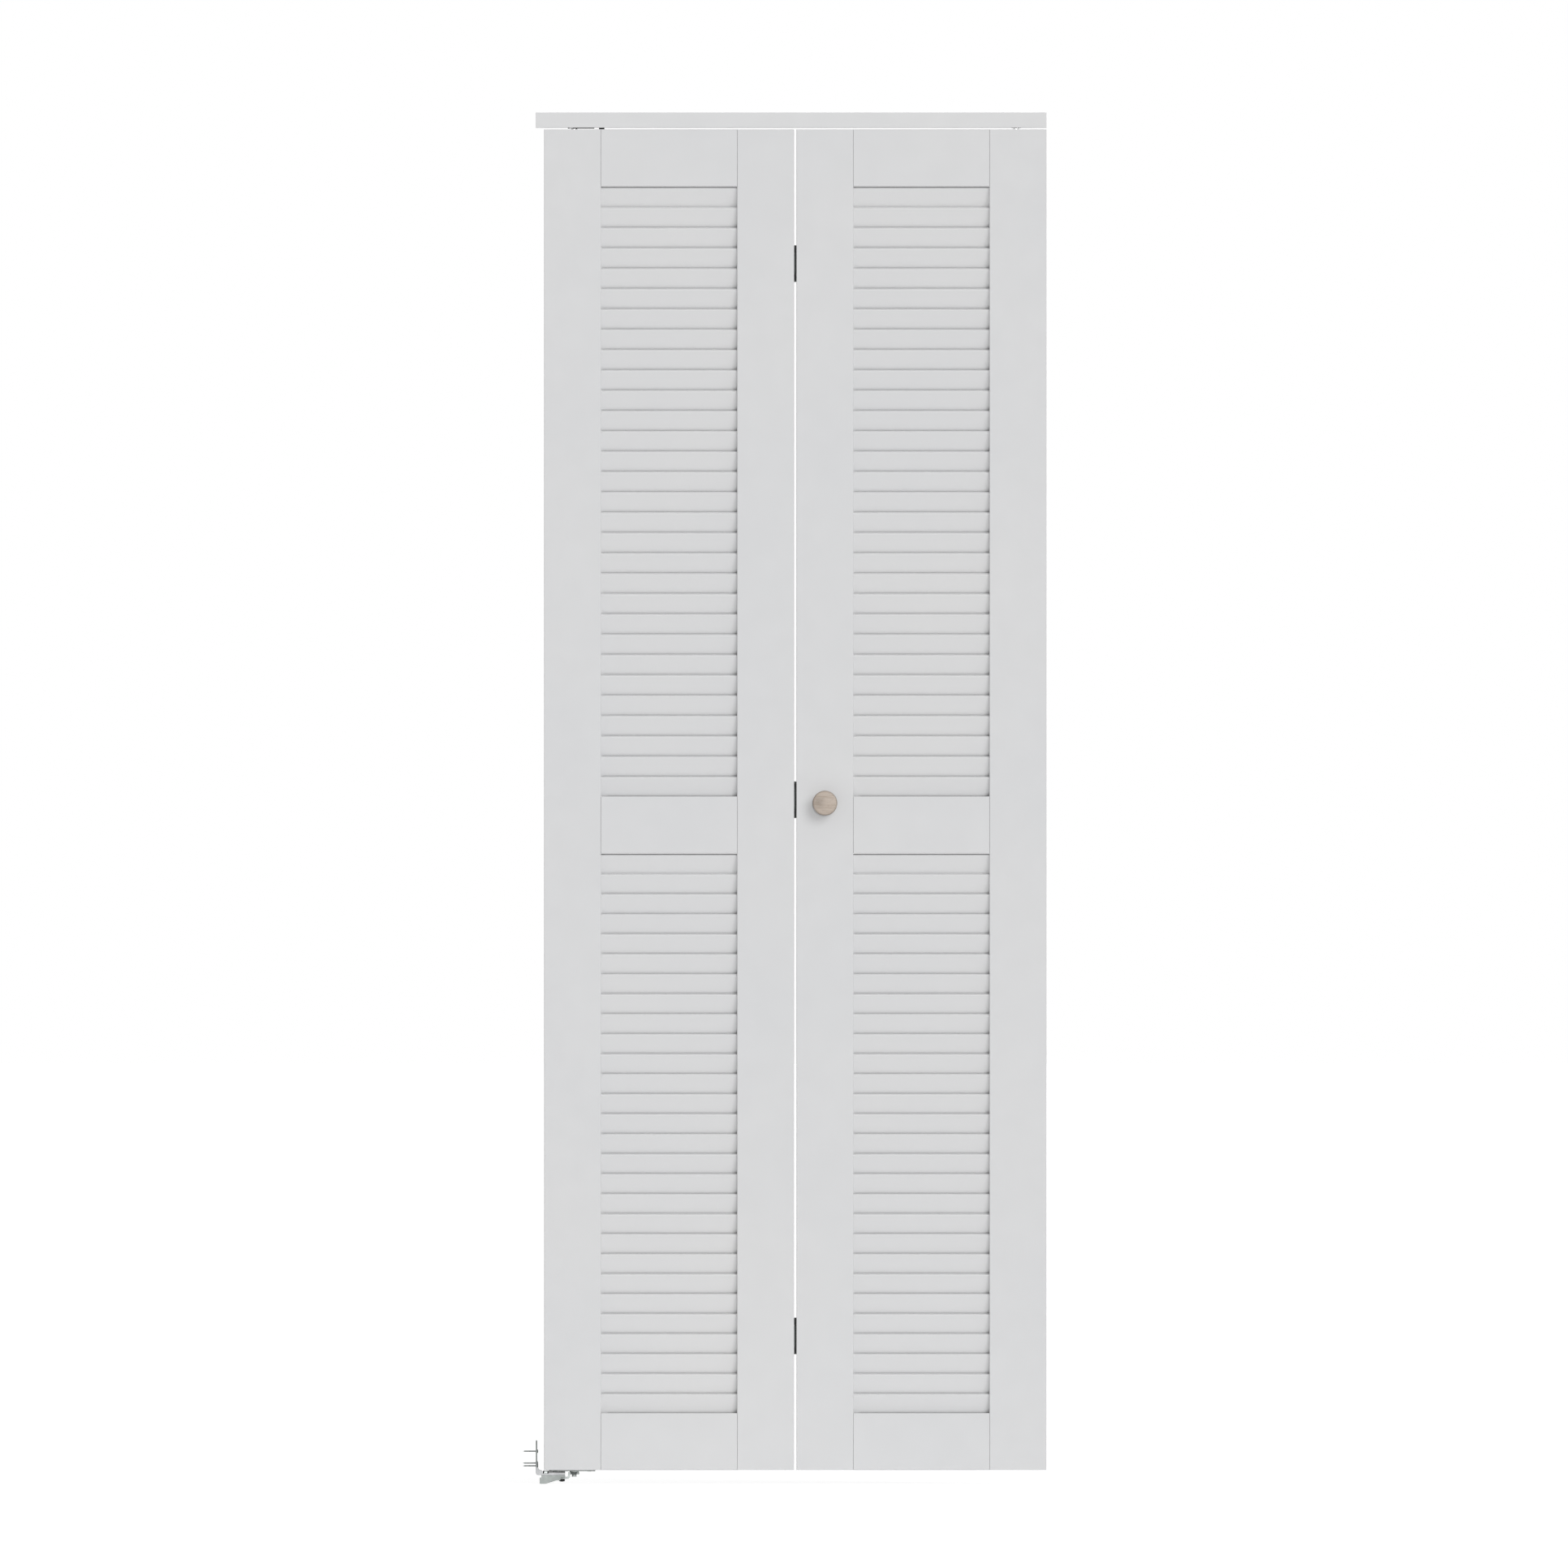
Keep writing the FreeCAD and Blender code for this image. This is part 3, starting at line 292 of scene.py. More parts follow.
def new_material(name):
    """A node material with its tree and its Principled shader."""
    material = bpy.data.materials.new(name)
    material.use_nodes = True
    return material, material.node_tree, material.node_tree.nodes["Principled BSDF"]


def add(tree, kind, **settings):
    """A shader node; a setting in capitals is an input's value, any other a property."""
    node = tree.nodes.new("ShaderNode" + kind)
    for name, value in settings.items():
        if name[0].isupper():
            node.inputs[name.replace("_", " ")].default_value = value
        else:
            setattr(node, name, value)
    return node


def object_place(tree):
    """Places in the piece's own coordinates."""
    return add(tree, "TexCoord").outputs["Object"]


def stretched(tree, scale, place):
    """Places scaled by three factors, in turns per metre."""
    mapping = add(tree, "Mapping", Scale=scale)
    tree.links.new(place, mapping.inputs["Vector"])
    return mapping.outputs["Vector"]


def noise(tree, place, scale, detail=4.0, roughness=0.5, distortion=0.0):
    """A noise texture's value over places."""
    node = add(
        tree, "TexNoise", Scale=scale, Detail=detail, Roughness=roughness, Distortion=distortion)
    tree.links.new(place, node.inputs["Vector"])
    return node.outputs["Fac"]


def ramp(tree, value, stops):
    """A colour ramp with (place, colour) stops; a colour may be one grey number."""
    node = add(tree, "ValToRGB")
    elements = node.color_ramp.elements
    while len(elements) < len(stops):
        elements.new(1.0)
    for element, (place, colour) in zip(elements, stops):
        shade = (colour,) * 3 if isinstance(colour, float) else colour
        element.position = place
        element.color = (*shade, 1.0)
    tree.links.new(value, node.inputs["Fac"])
    return node.outputs["Color"]


def ramp_between(tree, value, places, colours):
    """A colour ramp from the first colour to the second between two places."""
    return ramp(tree, value, tuple(zip(places, colours)))


def blend_colours(tree, factor, first, second, kind="MIX"):
    """Two colours mixed; each is a socket or three numbers, the factor a socket or a number."""
    node = add(tree, "Mix", data_type="RGBA", blend_type=kind)
    for place, value in ((MIX_FACTOR, factor), (MIX_FIRST, first), (MIX_SECOND, second)):
        if isinstance(value, bpy.types.NodeSocket):
            tree.links.new(value, node.inputs[place])
        elif place == MIX_FACTOR:
            node.inputs[place].default_value = value
        else:
            node.inputs[place].default_value = (*value, 1.0)
    return node.outputs[MIX_RESULT]


def shaded(tree, colour, shade, share=1.0):
    """A colour multiplied by a shade."""
    return blend_colours(tree, share, colour, shade, "MULTIPLY")


def bumps(tree, shader, layers):
    """Bump layers of (height socket, (strength, depth)), one over the other."""
    normal = None
    for height, (strength, depth) in layers:
        node = add(tree, "Bump", Strength=strength, Distance=depth)
        tree.links.new(height, node.inputs["Height"])
        if normal is not None:
            tree.links.new(normal, node.inputs["Normal"])
        normal = node.outputs["Normal"]
    tree.links.new(normal, shader.inputs["Normal"])


def white_paint(name, grain, colours, grain_bump, painted_shade_kinds=PAINTED_SHADE_ALL_OVER):
    """Sprayed satin white paint: slow shifts of tone, fine orange peel, a hint of grain, and
    painted shade in the tight corners. Each kind of painted shade is (from, to) along the piece,
    or None for all of it, and whether only the piece's own corners count."""
    material, tree, shader = new_material(name)
    plain = object_place(tree)
    tone = noise(tree, plain, PAINT_TONE_SCALE, detail=3.0)
    colour = ramp_between(tree, tone, PAINT_TONE_PLACES, colours)
    # Painted shade: ambient occlusion darkens the colour where corners close in
    for share, own in painted_shade_kinds:
        corners = add(
            tree, "AmbientOcclusion", samples=PAINTED_SHADE_SAMPLES, only_local=own, Distance=PAINTED_SHADE_REACH)
        painted_shade = ramp(tree, corners.outputs["AO"], (PAINTED_SHADE_DEEP, PAINTED_SHADE_CLEAR))
        if share:
            along = add(tree, "Attribute", attribute_name=ALONG)
            reach = add(tree, "MapRange", From_Min=share[0], From_Max=share[1])
            tree.links.new(along.outputs["Fac"], reach.inputs["Value"])
            painted_shade = blend_colours(tree, reach.outputs["Result"], NO_PAINTED_SHADE_COLOUR, painted_shade)
        colour = shaded(tree, colour, painted_shade)
    tree.links.new(colour, shader.inputs["Base Color"])
    gloss = noise(tree, plain, PAINT_GLOSS_SCALE, detail=3.0)
    tree.links.new(ramp(tree, gloss, PAINT_ROUGHNESS), shader.inputs["Roughness"])
    peel = noise(tree, plain, PEEL_SCALE, detail=2.0)
    grained = stretched(tree, grain, plain)
    fibres = noise(tree, grained, 1.0, detail=5.0, roughness=0.6, distortion=0.3)
    bumps(tree, shader, ((fibres, grain_bump), (peel, PEEL_BUMP)))
    return material


def zinc_plate(name, colours, gloss, colour_band=None):
    """Zinc on pressed steel: patches of crystal, cloudy tarnish and fine rolling lines, and
    another colour along part of one axis if asked."""
    material, tree, shader = new_material(name)
    plain = object_place(tree)
    crystals = add(tree, "TexVoronoi", Scale=CRYSTAL_SCALE, Randomness=1.0)
    tree.links.new(plain, crystals.inputs["Vector"])
    facet = ramp_between(tree, crystals.outputs["Color"], CRYSTAL_PLACES, colours)
    cloud = noise(tree, plain, CLOUD_SCALE, detail=5.0, roughness=0.6)
    colour = blend_colours(tree, ramp(tree, cloud, CLOUD_SHADES), facet, colours[0])
    # A band of another colour; on some pieces it is painted shade, on one a painted highlight
    if colour_band:
        axis, (start, end), band_colour = colour_band
        apart = add(tree, "SeparateXYZ")
        tree.links.new(plain, apart.inputs[0])
        within = add(tree, "Math", operation="COMPARE")
        tree.links.new(apart.outputs[axis], within.inputs[0])
        within.inputs[1].default_value = (start + end) / 2
        within.inputs[2].default_value = (end - start) / 2
        colour = blend_colours(tree, within.outputs[0], colour, band_colour)
    tree.links.new(colour, shader.inputs["Base Color"])
    worn = ramp_between(tree, cloud, CLOUD_GLOSS_PLACES, gloss[:2])
    tree.links.new(worn, shader.inputs["Roughness"])
    lines = noise(tree, stretched(tree, ROLLING_SCALE, plain), 1.0, detail=3.0)
    bumps(tree, shader, ((crystals.outputs["Distance"], CRYSTAL_BUMP), (lines, ROLLING_BUMP)))
    shader.inputs["Metallic"].default_value = gloss[2]
    return material


def moulded_nylon(name, colours):
    """Nylon with a slightly uneven, dull skin."""
    material, tree, shader = new_material(name)
    plain = object_place(tree)
    tone = noise(tree, plain, NYLON_TONE_SCALE, detail=3.0)
    colour = ramp_between(tree, tone, NYLON_TONE_PLACES, colours)
    tree.links.new(colour, shader.inputs["Base Color"])
    skin = noise(tree, plain, NYLON_SKIN_SCALE, detail=2.0)
    tree.links.new(ramp(tree, skin, NYLON_ROUGHNESS), shader.inputs["Roughness"])
    bumps(tree, shader, ((skin, NYLON_SKIN_BUMP),))
    shader.inputs["Subsurface Weight"].default_value = NYLON_SCATTER_SHARE
    shader.inputs["Subsurface Radius"].default_value = NYLON_SCATTER_REACH
    return material


def turned_wood(name):
    """Bare pale hardwood with its grain across the knob: growth bands, fibres and dark flecks."""
    material, tree, shader = new_material(name)
    plain = object_place(tree)
    bend = noise(tree, stretched(tree, BEND_SCALE, plain), 1.0, detail=2.0)
    bent = add(tree, "VectorMath", operation="MULTIPLY_ADD")
    tree.links.new(bend, bent.inputs[0])
    bent.inputs[1].default_value = BEND_REACH
    tree.links.new(plain, bent.inputs[2])
    growth_place = stretched(tree, GROWTH_SCALE, bent.outputs[0])
    growth = noise(tree, growth_place, 1.0, detail=3.0, roughness=0.55)
    colour = ramp(tree, growth, GROWTH_SHADES)
    fibre = noise(tree, stretched(tree, FIBRE_SCALE, plain), 1.0, detail=3.0)
    colour = shaded(tree, colour, ramp(tree, fibre, FIBRE_SHADES))
    fleck = noise(tree, stretched(tree, FLECK_SCALE, plain), 1.0, detail=2.0)
    colour = shaded(tree, colour, ramp(tree, fleck, FLECK_SHADES), FLECK_SHARE)
    away = add(tree, "VectorMath", operation="DISTANCE")
    tree.links.new(plain, away.inputs[0])
    away.inputs[1].default_value = FIGURE_PLACE
    figure = add(tree, "MapRange", From_Max=FIGURE_REACH, To_Min=FIGURE_SHADE, To_Max=1.0)
    tree.links.new(away.outputs["Value"], figure.inputs["Value"])
    colour = shaded(tree, colour, figure.outputs["Result"])
    # Painted shade: the turned side is darker from just behind the rim back to the foot
    apart = add(tree, "SeparateXYZ")
    tree.links.new(plain, apart.inputs[0])
    side = add(tree, "MapRange", From_Min=TURNED_EDGE[0], From_Max=TURNED_EDGE[1],
               To_Min=1.0, To_Max=TURNED_SIDE_PAINTED_SHADE)
    tree.links.new(apart.outputs[Y_AXIS], side.inputs["Value"])
    colour = shaded(tree, colour, side.outputs["Result"])
    tree.links.new(colour, shader.inputs["Base Color"])
    tree.links.new(ramp(tree, growth, GROWTH_ROUGHNESS), shader.inputs["Roughness"])
    bumps(tree, shader, ((growth, GROWTH_BUMP), (fibre, FIBRE_BUMP)))
    return material


paint_up = white_paint("white_paint_upright", GRAIN_UP, WOOD_PAINT, WOOD_GRAIN_BUMP)
paint_across = white_paint("white_paint_across", GRAIN_ACROSS, WOOD_PAINT, WOOD_GRAIN_BUMP)
paint_slats = white_paint(
    "white_paint_slats", GRAIN_ACROSS, LIGHTENED_SLAT_PAINT, WOOD_GRAIN_BUMP, SLAT_PAINTED_SHADE)
paint_slat_unshaded = white_paint(
    "white_paint_slats_unshaded", GRAIN_ACROSS, LIGHTENED_SLAT_PAINT, WOOD_GRAIN_BUMP, UNSHADED)
paint_steel = white_paint("white_paint_steel", GRAIN_ACROSS, STEEL_PAINT, STEEL_GRAIN_BUMP, UNSHADED)
zinc = zinc_plate("zinc_plate", PLATE_COLOURS, ZINC_DULL)
bracket_two_tone_zinc = zinc_plate("zinc_plate_bracket_two_tone", BRACKET_COLOURS, ZINC_DULL, BRACKET_UPPER_DARKER)
arm_eye_shaded_zinc = zinc_plate("zinc_plate_arm_eye_shaded", ARM_COLOURS, ZINC_DULL, ARM_EYE_PAINTED_SHADE)
dark_zinc = zinc_plate("zinc_plate_dark", SCREW_COLOURS, ZINC_BRIGHT)
light_zinc = zinc_plate("zinc_plate_light", LOWER_PIN_COLOURS, ZINC_DULL)
black_zinc = zinc_plate("zinc_plate_black", BLACK_COLOURS, ZINC_BLACK)
saddle_zinc = zinc_plate("zinc_plate_saddle", BLACK_COLOURS, ZINC_BLACK, SADDLE_PAINTED_HIGHLIGHT)
bright_zinc = zinc_plate("zinc_plate_bright", BRIGHT_COLOURS, ZINC_POLISHED)
pin_zinc = zinc_plate("zinc_plate_pin", BRIGHT_COLOURS, ZINC_BRIGHT, UPPER_PIN_PAINTED_SHADE)
small_leaf_zinc = zinc_plate("hinge_zinc_grey", BARREL_COLOURS, ZINC_BLACK, SMALL_LEAF_GREY)
large_leaf_zinc = zinc_plate("hinge_zinc_black", BARREL_COLOURS, ZINC_BLACK, LARGE_LEAF_BLACK)
nylon = moulded_nylon("grey_nylon_moulded", SOCKET_COLOURS)
pale_nylon = moulded_nylon("pale_nylon_moulded", WHEEL_COLOURS)
knob_wood = turned_wood("pale_turned_wood")


def soften(node_name, width, material):
    """Gives a frame piece its finish and narrow rounded edges; its own mesh stays as it is."""
    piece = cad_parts[node_name]
    if not piece.material_slots:
        piece.data.materials.append(material)
    for place in piece.material_slots:
        place.material = material
    weld = piece.modifiers.new("weld", "WELD")
    weld.merge_threshold = WELD_DISTANCE
    flat = piece.modifiers.new("flat_faces", "DECIMATE")
    flat.decimate_type = "DISSOLVE"
    flat.angle_limit = FLAT_ANGLE
    bevel = piece.modifiers.new("soft_edges", "BEVEL")
    bevel.width = width
    bevel.segments = EDGE_STEPS
    bevel.limit_method = "ANGLE"
    bevel.angle_limit = EDGE_ANGLE
    bevel.use_clamp_overlap = False
    shading = piece.modifiers.new("shading", "WEIGHTED_NORMAL")
    shading.keep_sharp = False


def finish_piece(name, mesh_data, material, body, smooth_angle=EDGE_ANGLE):
    """Makes a bmesh into a named piece with its finish, riding on a body."""
    mesh = bpy.data.meshes.new(name)
    bmesh.ops.recalc_face_normals(mesh_data, faces=mesh_data.faces)
    for face in mesh_data.faces:
        face.smooth = True
    mesh_data.to_mesh(mesh)
    mesh_data.free()
    mesh.set_sharp_from_angle(angle=smooth_angle)
    mesh.materials.append(material)
    piece = bpy.data.objects.new(name, mesh)
    bpy.context.scene.collection.objects.link(piece)
    shading = piece.modifiers.new("shading", "WEIGHTED_NORMAL")
    shading.keep_sharp = True
    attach(piece, body)
    return piece


def join_rings(mesh_data, rings, close_ends=True):
    """Faces between rings of vertices that have the same count, with both ends closed if asked."""
    for lower, upper in zip(rings, rings[1:]):
        count = len(lower)
        for order in range(count):
            following = (order + 1) % count
            mesh_data.faces.new((lower[order], lower[following], upper[following], upper[order]))
    if close_ends:
        mesh_data.faces.new(reversed(rings[0]))
        mesh_data.faces.new(rings[-1])


def ring(mesh_data, radius, height, steps):
    """A circle of vertices about the local Z axis."""
    return [
        mesh_data.verts.new((
            radius * math.cos(2 * math.pi * order / steps),
            radius * math.sin(2 * math.pi * order / steps),
            height))
        for order in range(steps)
    ]


def arc(centre, radius, start, end, steps):
    """Points of an arc in a plane, angles in turns of a full circle."""
    return [
        (centre[0] + radius * math.cos(2 * math.pi * (start + (end - start) * order / steps)),
         centre[1] + radius * math.sin(2 * math.pi * (start + (end - start) * order / steps)))
        for order in range(steps + 1)
    ]


def placed(matrix, build, *arguments):
    """A bmesh built about the local Z axis and moved by a matrix."""
    made = bmesh.new()
    build(made, *arguments)
    bmesh.ops.transform(made, matrix=matrix, verts=made.verts)
    return made


def gather(parts):
    """Several bmeshes joined in one."""
    whole = bmesh.new()
    for part in parts:
        mesh = bpy.data.meshes.new("part")
        part.to_mesh(mesh)
        part.free()
        whole.from_mesh(mesh)
        bpy.data.meshes.remove(mesh)
    return whole


def facing(place, direction):
    """A matrix that puts the local origin at a place, with local Z along a direction."""
    turn = Vector(direction).to_track_quat("Z", "Y").to_matrix().to_4x4()
    return Matrix.Translation(place) @ turn


def middle_x(box):
    """Halfway along X in a box of (low, high) corners."""
    low, high = box
    return (low.x + high.x) / 2


def recess_depth(across, up, radius, height):
    """How far a cross recess goes into a screw head at a point."""
    reach = radius * RECESS_REACH_SHARE
    half_width = radius * RECESS_WIDTH_SHARE
    near, far = sorted((abs(across), abs(up)))
    if near > half_width or far > reach:
        return 0.0
    return height * RECESS_DEPTH_SHARE


def screw_head(mesh_data, radius, height):
    """A domed screw head with a cross recess, standing on the local XY plane."""
    middle = mesh_data.verts.new((0.0, 0.0, height - recess_depth(0.0, 0.0, radius, height)))
    rings = []
    for order in range(1, HEAD_RINGS + 1):
        angle = order / HEAD_RINGS * math.pi / 2
        rise = height * math.cos(angle) ** HEAD_DOME_POWER
        circle = ring(mesh_data, radius * math.sin(angle), rise, HEAD_STEPS)
        for vertex in circle:
            vertex.co.z -= recess_depth(vertex.co.x, vertex.co.y, radius, height)
        rings.append(circle)
    for order in range(HEAD_STEPS):
        mesh_data.faces.new((middle, rings[0][order], rings[0][(order + 1) % HEAD_STEPS]))
    join_rings(mesh_data, rings, close_ends=False)
    mesh_data.faces.new(rings[-1])


def domed_rivet(mesh_data, radius, height):
    """A plain domed head, standing on the local XY plane."""
    rings = []
    for order in range(1, HEAD_RINGS + 1):
        angle = order / HEAD_RINGS * math.pi / 2
        rise = height * math.cos(angle)
        rings.append(ring(mesh_data, radius * math.sin(angle), rise, HEAD_STEPS))
    join_rings(mesh_data, rings)


def hexagon_head(mesh_data, radius, height):
    """A hexagon head with a chamfered top, standing on the local XY plane."""
    rings = [
        ring(mesh_data, radius * radius_share, height * height_share, HEXAGON_SIDES)
        for radius_share, height_share in HEXAGON_PROFILE
    ]
    join_rings(mesh_data, rings)


def threaded_shank(mesh_data, radius, length):
    """A screw's thread going down from the local XY plane, with a point at its end."""
    turns = length / THREAD_PITCH
    rings = []
    for order in range(int(turns * THREAD_RINGS_PER_TURN) + 1):
        depth = order * THREAD_PITCH / THREAD_RINGS_PER_TURN
        taper = min(1.0, max(length - depth, 0.0) / SCREW_TIP_LENGTH)
        circle = ring(mesh_data, radius, -depth, THREAD_STEPS)
        for place, vertex in enumerate(circle):
            phase = (depth / THREAD_PITCH - place / THREAD_STEPS) % 1.0
            groove = THREAD_DEPTH_SHARE * (1.0 - abs(2.0 * phase - 1.0)) ** THREAD_CREST_POWER
            share = (1.0 - groove) * (SCREW_TIP_SHARE + (1.0 - SCREW_TIP_SHARE) * taper)
            vertex.co.x *= share
            vertex.co.y *= share
        rings.append(circle)
    join_rings(mesh_data, rings)


def slat_outline():
    """A slat's section in the YZ plane about its own centre, with rounded edges."""
    corner_across = SLAT_WIDTH / 2 - SLAT_EDGE_RADIUS
    corner_out = SLAT_THICKNESS / 2 - SLAT_EDGE_RADIUS
    points = []
    for order, (across_side, out_side) in enumerate(((1, 1), (-1, 1), (-1, -1), (1, -1))):
        corner = (across_side * corner_across, out_side * corner_out)
        points += arc(corner, SLAT_EDGE_RADIUS, order / 4, (order + 1) / 4, SLAT_EDGE_STEPS)
    return points


def slat_stack(side, level, count, chance):
    """One opening's slats between the two stiles, each a little out of true."""
    node_name = f"{side}_{level}_slats"
    low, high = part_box(node_name)
    half_height = (SLAT_WIDTH * math.sin(SLAT_ANGLE) + SLAT_THICKNESS * math.cos(SLAT_ANGLE)) / 2
    pitch = (high.z - low.z - 2 * half_height) / (count - 1)
    section = slat_outline()
    whole = bmesh.new()
    for order in range(count):
        tilt = SLAT_ANGLE + chance.uniform(-1.0, 1.0) * SLAT_TILT_SPREAD
        middle = low.z + half_height + order * pitch
        rings = []
        for end in (low.x - SLAT_LET_IN, high.x + SLAT_LET_IN):
            rings.append([
                whole.verts.new((
                    end,
                    across * math.cos(tilt) + out * math.sin(tilt),
                    middle - across * math.sin(tilt) + out * math.cos(tilt)))
                for across, out in section
            ])
        join_rings(whole, rings)
    # The highest slat, whose faces are its sides and two ends, has no painted shade
    for face in whole.faces[-len(section) - 2:]:
        face.material_index = 1
    piece = finish_piece(
        f"{side}_{level}_louvres", whole, paint_slats, side + "_panel",
        SLAT_SMOOTH_ANGLE)
    piece.data.materials.append(paint_slat_unshaded)
    along = piece.data.attributes.new(ALONG, "FLOAT", "POINT")
    for vertex, place in zip(piece.data.vertices, along.data):
        place.value = float(vertex.co.x > low.x)
    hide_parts(node_name)


def knob_profile(length, radius):
    """The knob's (radius, height) points from the middle of its face back to its foot."""
    dome_edge = radius - KNOB_RIM_RADIUS
    dome_radius = (dome_edge ** 2 + KNOB_DOME_RISE ** 2) / (2 * KNOB_DOME_RISE)
    half_angle = math.asin(dome_edge / dome_radius)
    shares = [order / KNOB_CURVE_STEPS for order in range(1, KNOB_CURVE_STEPS + 1)]
    points = []
    for share in shares:
        angle = half_angle * share
        drop = dome_radius * (1 - math.cos(angle))
        points.append((dome_radius * math.sin(angle), length - drop))
    rim_middle = length - KNOB_DOME_RISE - KNOB_RIM_RADIUS
    points += arc((dome_edge, rim_middle), KNOB_RIM_RADIUS, *KNOB_RIM_ARC, KNOB_CURVE_STEPS)[1:]
    start_radius, start_height = points[-1]
    for share in shares:
        ease = (1 - share) ** KNOB_NECK_POWER
        points.append((KNOB_NECK_RADIUS + (start_radius - KNOB_NECK_RADIUS) * ease,
                       start_height * (1 - KNOB_NECK_SHARE * share)))
    last_height = points[-1][1]
    for share in shares:
        points.append((KNOB_NECK_RADIUS + (KNOB_FOOT_RADIUS - KNOB_NECK_RADIUS) * share ** 2,
                       last_height * (1 - share)))
    return points


def turned_knob():
    """The turned wooden knob, about its own middle so that its grain keeps to it."""
    low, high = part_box("knob")
    length = high.y - low.y
    radius = (high.x - low.x) / 2
    whole = bmesh.new()
    rings = [ring(whole, across, up, KNOB_STEPS) for across, up in knob_profile(length, radius)]
    join_rings(whole, rings)
    turn = Matrix.Rotation(math.radians(90), 4, "X")
    bmesh.ops.transform(whole, matrix=turn, verts=whole.verts)
    piece = finish_piece("knob_turned", whole, knob_wood, "right_panel")
    piece.location = ((low.x + high.x) / 2, high.y, (low.z + high.z) / 2)
    # A piece rides from where it stands, and this one has just been moved
    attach(piece, "right_panel")
    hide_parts("knob")


def hinge_levels():
    """The height of each hinge's middle."""
    low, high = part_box("hinge_large_leaves")
    first = low.z + HINGE_HEIGHT / 2
    last = high.z - HINGE_HEIGHT / 2
    return [first + (last - first) * order / (HINGE_COUNT - 1) for order in range(HINGE_COUNT)]


def hinge_fasteners():
    """Countersunk screws in the hinge leaves and the rounded heads of the hinge pins."""
    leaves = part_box("hinge_large_leaves")
    pin_x = middle_x(leaves)
    pin_y = leaves[1].y - BARREL_RADIUS
    small, large, pins = [], [], []
    for level in hinge_levels():
        for depth, rise in SMALL_LEAF_SCREWS:
            place = facing((pin_x + LEAF_HALF_STEP, depth, level + rise), (1, 0, 0))
            small.append(placed(place, screw_head, LEAF_SCREW_RADIUS, LEAF_SCREW_RISE))
        for depth, rise in LARGE_LEAF_SCREWS:
            place = facing((pin_x - LEAF_HALF_STEP, depth, level + rise), (-1, 0, 0))
            large.append(placed(place, screw_head, LEAF_SCREW_RADIUS, LEAF_SCREW_RISE))
        for side in (-1, 1):
            end = level + side * HINGE_HEIGHT / 2
            place = facing((pin_x, pin_y, end), (0, 0, side))
            pins.append(placed(place, domed_rivet, PIN_HEAD_RADIUS, PIN_HEAD_RISE))
    finish_piece("small_leaf_screws", gather(small), zinc, "left_panel")
    finish_piece("large_leaf_screws", gather(large), zinc, "right_panel")
    finish_piece("hinge_pin_heads", gather(pins), zinc, "right_panel")


def jamb_fasteners():
    """The three threaded jamb screws and the screw that holds the bracket to its shoe."""
    low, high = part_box("jamb_screws")
    door_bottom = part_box("left_pivot_stile")[0].z
    face = high.x - JAMB_HEAD_HEIGHT
    parts = []
    for depth, rise in JAMB_SCREW_PLACES:
        place = facing((face, depth, door_bottom + rise), (1, 0, 0))
        parts.append(placed(place, hexagon_head, JAMB_HEAD_RADIUS, JAMB_HEAD_HEIGHT))
        parts.append(placed(place, threaded_shank, JAMB_SCREW_RADIUS, face - low.x))
    screws = finish_piece("threaded_jamb_screws", gather(parts), dark_zinc, "frame")
    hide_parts("jamb_screws")
    shelf_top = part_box("arm_bolt")[1].z - ARM_BOLT_HEAD_HEIGHT
    place = facing((SHOE_SCREW_X, 0.0, shelf_top), (0, 0, 1))
    head = placed(place, hexagon_head, SHOE_SCREW_RADIUS, SHOE_SCREW_RISE)
    finish_piece("shoe_screw", head, dark_zinc, "frame")


def other_fasteners():
    """Screws under the door, behind the knob and in the track, and the wheel's axle head."""
    plate_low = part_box("pivot_plate")[0]
    parts = []
    for inset in PLATE_SCREW_INSETS:
        place = facing((plate_low.x + inset, 0.0, plate_low.z), (0, 0, -1))
        parts.append(placed(place, screw_head, PLATE_SCREW_RADIUS, PLATE_SCREW_RISE))
    finish_piece("plate_screws", gather(parts), zinc, "left_panel")

    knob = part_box("knob")
    knob_level = (knob[0].z + knob[1].z) / 2
    stile_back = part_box("right_hinge_stile")[1].y
    place = facing((middle_x(knob), stile_back, knob_level), (0, 1, 0))
    head = placed(place, screw_head, KNOB_SCREW_RADIUS, KNOB_SCREW_RISE)
    finish_piece("knob_screw", head, zinc, "right_panel")

    saddle_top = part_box("top_pivot_bracket")[1].z
    place = facing((middle_x(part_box("top_clamp_bar")), 0.0, saddle_top), (0, 0, 1))
    head = placed(place, screw_head, CLAMP_SCREW_RADIUS, CLAMP_SCREW_RISE)
    finish_piece("clamp_screw", head, black_zinc, "frame")

    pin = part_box("guide_pin")
    place = facing((middle_x(pin), 0.0, pin[1].z), (0, 0, 1))
    head = placed(place, domed_rivet, AXLE_HEAD_RADIUS, AXLE_HEAD_RISE)
    finish_piece("axle_head", head, zinc, "guide_pin")


